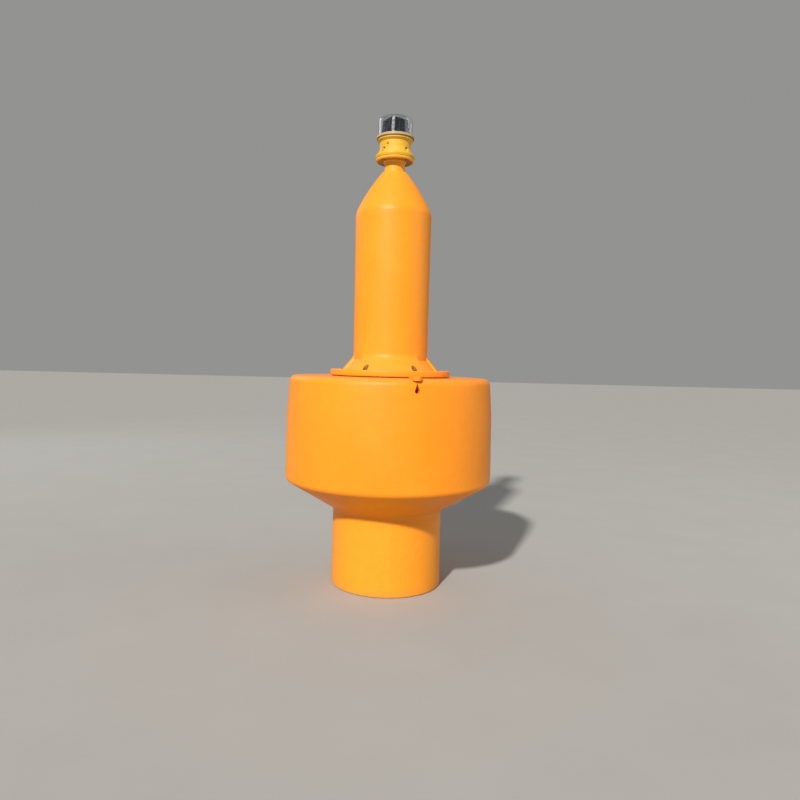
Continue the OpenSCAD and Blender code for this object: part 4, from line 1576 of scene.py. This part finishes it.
@dataclass
class SolarHead:
    """The square solar frame's lamps and the silver lines on its panels. Sizes in mm."""

    sides: int = 4
    azimuth: float = -11.0
    low_side: float = 43.5
    high_side: float = 39.0
    low: float = span("solar_frame")[0]
    high: float = span("solar_frame")[1]
    corner_w: float = 11.0
    lamp_rows: int = 4
    lamp_up: float = 5.0
    lamp_step: float = 18.0
    lamp_size: float = 5.0
    lamp_sink: float = 0.5
    lamp_t: float = 1.0
    dome_h: float = 1.5
    dome_spread: float = 1.6
    columns: int = 24
    panel_t: float = 2.0
    panel_foot: float = 9.0
    panel_head: float = 2.0
    panel_side: float = 1.5
    print_edge: float = 1.5
    print_t: float = 0.12
    finger_step: float = 2.4
    finger_w: float = 0.16
    busbars: int = 2
    busbar_w: float = 0.9

    def lamp(self) -> bpy.types.Mesh:
        """Builds one lamp, a domed lens on a square housing, which looks along +X.

        Returns:
            The mesh.
        """
        turn, top = np.arange(self.columns) * 2 * math.pi / self.columns, self.lamp_t
        square = self.lamp_size / 2 / np.maximum(np.abs(np.cos(turn)), np.abs(np.sin(turn)))
        dome = [(self.dome_spread * r, top + z) for r, z in arc(0, 0, self.dome_h, 8, 80, 5)]
        mesh = turned([
            (0, -self.lamp_sink), (square - 0.02, -self.lamp_sink), (square, 0.15), (square, top - 0.2),
            (square - 0.25, top), (self.lamp_size / 2 - 0.05, top), *dome, (0, top + self.dome_h),
        ], self.columns)
        mesh.transform(TO_X)
        return mesh

    def corner(self, side: float) -> float:
        """Gives the distance from the axis to a cut-off corner of the square frame."""
        return side * math.sqrt(2) - self.corner_w / 2

    def fingers(self, printer: Growth) -> bpy.types.Mesh:
        """Prints the silver lines of one panel.

        Args:
            printer: The tree that prints lines on a tapered panel.

        Returns:
            The lines' mesh.
        """
        slant = math.hypot(self.high - self.low, self.low_side - self.high_side)
        inset = self.corner_w / math.sqrt(2) + self.panel_side + self.print_edge
        low, high = self.panel_foot + self.print_edge, slant - self.panel_head - self.print_edge
        return printer.run(
            path_mesh([(0, 0, 0), (0, 0, 1)]), SILVER, Busbars=self.busbars,
            Fingers=int((high - low) / self.finger_step),
            **mm(
                Low=low, High=high, Low_width=2 * (self.low_side - inset),
                High_width=2 * (self.high_side - inset), Face=self.panel_t, Thickness=self.print_t,
                Finger_width=self.finger_w, Busbar_width=self.busbar_w,
            ),
        )

    def build(self, ring: Growth, printer: Growth) -> None:
        """Sets the lamps up the frame's corners and the lines on its panels.

        Args:
            ring: The tree that repeats a unit on a ring.
            printer: The tree that prints lines on a tapered panel.
        """
        rise, corner = self.high - self.low, self.corner(self.low_side)
        lean = math.atan2(corner - self.corner(self.high_side), rise)
        ring.grow(
            "lamp_domes", self.lamp(), LAMP_LENS, "leds", Count=self.sides, Rows=self.lamp_rows, Lean=lean,
            Start=math.radians(self.azimuth),
            **mm(
                Radius=corner - self.lamp_up * math.sin(lean),
                Height=self.low + self.lamp_up * math.cos(lean), Row_step=self.lamp_step,
            ),
        )
        ring.grow(
            "cell_fingers", self.fingers(printer), SILVER, Count=self.sides, Rows=1,
            Lean=math.atan2(self.low_side - self.high_side, rise),
            Start=math.radians(self.azimuth + 180 / self.sides), **mm(Radius=self.low_side, Height=self.low),
        )


@dataclass
class FillPlug:
    """Grip ribs round the fill plug's rim. Sizes in mm."""

    count: int = 30
    width: float = 1.6
    bite: float = 0.5
    proud: float = 0.5
    soft: float = 0.2
    short: float = 0.8

    def rib(self, height: float) -> bpy.types.Mesh:
        """Builds one upright rib at the origin.

        Args:
            height: Its height.

        Returns:
            The mesh.
        """
        work = bmesh.new()
        bmesh.ops.create_cube(work, size=1.0)
        size = Vector((self.bite + self.proud, self.width, height)) * MM
        bmesh.ops.scale(work, vec=size, verts=work.verts)
        bmesh.ops.bevel(work, geom=work.edges[:], offset=self.soft * MM, segments=1, affect="EDGES")
        mesh = bpy.data.meshes.new("rib")
        work.to_mesh(mesh)
        work.free()
        return mesh

    def build(self, ring: Growth) -> None:
        """Sets the ribs round the plug's rim.

        Args:
            ring: The tree that repeats a unit on a ring.
        """
        (x0, y0, _), (x1, y1, top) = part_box("fill_plug")
        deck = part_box("foot_seal")[0][2]
        ring.grow(
            "plug_ribs", self.rib((top - deck) / MM - self.short), BLACK_RUBBER,
            place=Matrix.Translation(((x0 + x1) / 2, (y0 + y1) / 2, 0)), Count=self.count, Rows=1,
            Radius=(x1 - x0) / 2 + (self.proud - self.bite) / 2 * MM, Height=(top + deck) / 2,
        )


@dataclass
class MooringGear:
    """The weld round the mooring eye and the thread on the shackle's pin. Sizes in mm."""

    eye_t: float = 16.0
    eye_half: float = 24.0
    bead_r: float = 3.6
    bead_step: float = 2.1
    bead_flatness: float = 0.55
    bead_wander: float = 0.08
    pin_r: float = 8.0
    pin_end: float = 4.0
    pin_tip: float = 0.8
    pitch: float = 1.6
    ridge: float = 0.55
    ridge_sink: float = 0.1

    def build(self, weld: Growth, thread: Growth) -> None:
        """Makes the weld and the thread.

        Args:
            weld: The tree that lays ripples along a path.
            thread: The tree that winds a screw thread.
        """
        plate_z = span("ballast_plate")[0]
        x, y = self.eye_t / 2, self.eye_half
        corners = [(x, y, plate_z), (-x, y, plate_z), (-x, -y, plate_z), (x, -y, plate_z)]
        weld.grow(
            "eye_weld", path_mesh(corners, closed=True), GALVANISED, Flatness=self.bead_flatness,
            Wander=self.bead_wander, **mm(Radius=self.bead_r, Step=self.bead_step),
        )
        (_, _, low), (end, _, high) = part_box("shackle_pin")
        thread.grow(
            "pin_thread", path_mesh([(0, 0, 0), (0, 0, 1)]), GALVANISED, body=Body.SHACKLE,
            place=Matrix.Translation((end - self.pin_end * MM, 0, (low + high) / 2)) @ TO_X,
            Turns=(self.pin_end - self.pin_tip) / self.pitch,
            **mm(Radius=self.pin_r - self.ridge_sink, Pitch=self.pitch, Depth=self.ridge),
        )


# Stage


@dataclass(frozen=True)
class SoftLight:
    """A soft square light that faces the buoy's axis. Sizes in metres, power in watts."""

    name: str
    place: Point
    aim_z: float
    size: float
    power: float
    tint: Colour = (0.95, 0.97, 1.0)

    def hang(self) -> None:
        """Hangs the light where it belongs."""
        data = bpy.data.lights.new(self.name, "AREA")
        data.size, data.energy, data.color = self.size, self.power, self.tint
        lamp = place_in_scene(self.name, data)
        lamp.location = self.place
        lamp.visible_camera = False
        sight = Vector((0, 0, self.aim_z)) - Vector(self.place)
        lamp.rotation_euler = sight.to_track_quat("-Z", "Y").to_euler()


@dataclass
class Studio:
    """Pale floor, soft lights and the camera at the photograph's place.

    The camera's angles are in degrees. Its distance to the picture, the picture's width and
    the point where its axis meets the picture are in the photograph's pixels.
    """

    floor_size: float = 60.0
    floor_dark: Colour = (0.37, 0.365, 0.35)
    floor_light: Colour = (0.41, 0.405, 0.39)
    floor_rough: float = 0.85
    key_power: float = 4.2
    key_azimuth: float = -20.0
    key_height: float = 34.0
    key_spread: float = 3.0
    key_tint: Colour = (1.0, 0.965, 0.91)
    fill: SoftLight = SoftLight("fill", (5.0, -0.6, 2.6), aim_z=0.9, size=3.0, power=37.0)
    back: SoftLight = SoftLight("back", (-4.2, 3.6, 3.4), aim_z=1.1, size=2.6, power=30.0)
    sky: Colour = (0.90, 0.895, 0.885)
    sky_strength: float = 0.325
    camera_place: Point = (0.0, -2.7186, 0.8583)
    yaw: float = 0.812
    pitch: float = 1.718
    roll: float = 1.379
    focal_px: float = 685.0
    frame_px: float = 800.0
    centre_px: Spot = (381.0, 341.0)
    sensor: float = 36.0
    sight_range: Spot = (0.05, 200.0)

    def build(self) -> None:
        """Makes the floor, the lights and the camera."""
        self.floor()
        self.lights()
        self.camera()

    def floor(self) -> None:
        """Makes the plain floor."""
        half = self.floor_size / 2
        mesh = bpy.data.meshes.new("floor")
        corners = [(-half, -half, 0), (half, -half, 0), (half, half, 0), (-half, half, 0)]
        mesh.from_pydata(corners, [], [(0, 1, 2, 3)])
        surface = Surface("floor", self.floor_light)
        cloudy = surface.noise(surface.place(), scale=3.0, detail=5.0, rough=0.6)
        tone = surface.mix(cloudy, self.floor_dark, self.floor_light)
        surface.show(Base_Color=tone, Roughness=self.floor_rough)
        mesh.materials.append(surface.material)
        place_in_scene("floor", mesh)

    def lights(self) -> None:
        """Hangs the key light up on the left, a fill on the right, a back light and an even sky."""
        key = bpy.data.lights.new("key", "SUN")
        key.energy, key.angle, key.color = self.key_power, math.radians(self.key_spread), self.key_tint
        slope, side = math.radians(self.key_height), math.radians(self.key_azimuth)
        out = math.cos(slope)
        place = Vector((math.sin(side) * out, -math.cos(side) * out, math.sin(slope)))
        place_in_scene("key", key).rotation_euler = place.to_track_quat("Z", "Y").to_euler()
        self.fill.hang()
        self.back.hang()
        world = bpy.data.worlds.new("studio")
        world.use_nodes = True
        sky = world.node_tree.nodes["Background"]
        Sheet(world.node_tree).feed(sky, Color=self.sky, Strength=self.sky_strength)
        bpy.context.scene.world = world
        bpy.context.scene.view_settings.view_transform = "Standard"

    def camera(self) -> None:
        """Puts the camera where the photograph was taken from."""
        data = bpy.data.cameras.new("camera")
        data.sensor_width = self.sensor
        data.lens = self.focal_px / self.frame_px * self.sensor
        data.shift_x = (self.frame_px / 2 - self.centre_px[0]) / self.frame_px
        data.shift_y = (self.centre_px[1] - self.frame_px / 2) / self.frame_px
        data.clip_start, data.clip_end = self.sight_range
        camera = place_in_scene("camera", data)
        yaw, pitch, roll = (math.radians(angle) for angle in (self.yaw, self.pitch, self.roll))
        level = Vector((math.cos(yaw), math.sin(yaw), 0))
        ahead = Vector((-math.sin(yaw), math.cos(yaw), 0))
        sight = ahead * math.cos(pitch) + Vector((0, 0, 1)) * math.sin(pitch)
        rise = Vector((0, 0, 1)) * math.cos(pitch) - ahead * math.sin(pitch)
        right = level * math.cos(roll) + rise * math.sin(roll)
        above = rise * math.cos(roll) - level * math.sin(roll)
        turn = Matrix((right, above, -sight)).transposed().to_4x4()
        camera.matrix_world = Matrix.Translation(self.camera_place) @ turn
        bpy.context.scene.camera = camera


def main() -> None:
    """Builds the studio and every piece of the buoy, in order."""
    logging.basicConfig(level=logging.INFO, format="%(name)s: %(message)s")
    build_effects()
    Studio().build()
    dress_nodes()
    Float().build()
    Tower().build()
    ring = ring_tree()
    FootFasteners().build(ring)
    FlangeBolts().build(ring)
    RingScrews().build(ring)
    Cover().build()
    SolarHead().build(ring, finger_tree())
    FillPlug().build(ring)
    MooringGear().build(weld_tree(), thread_tree())


if __name__ == "__main__":
    main()
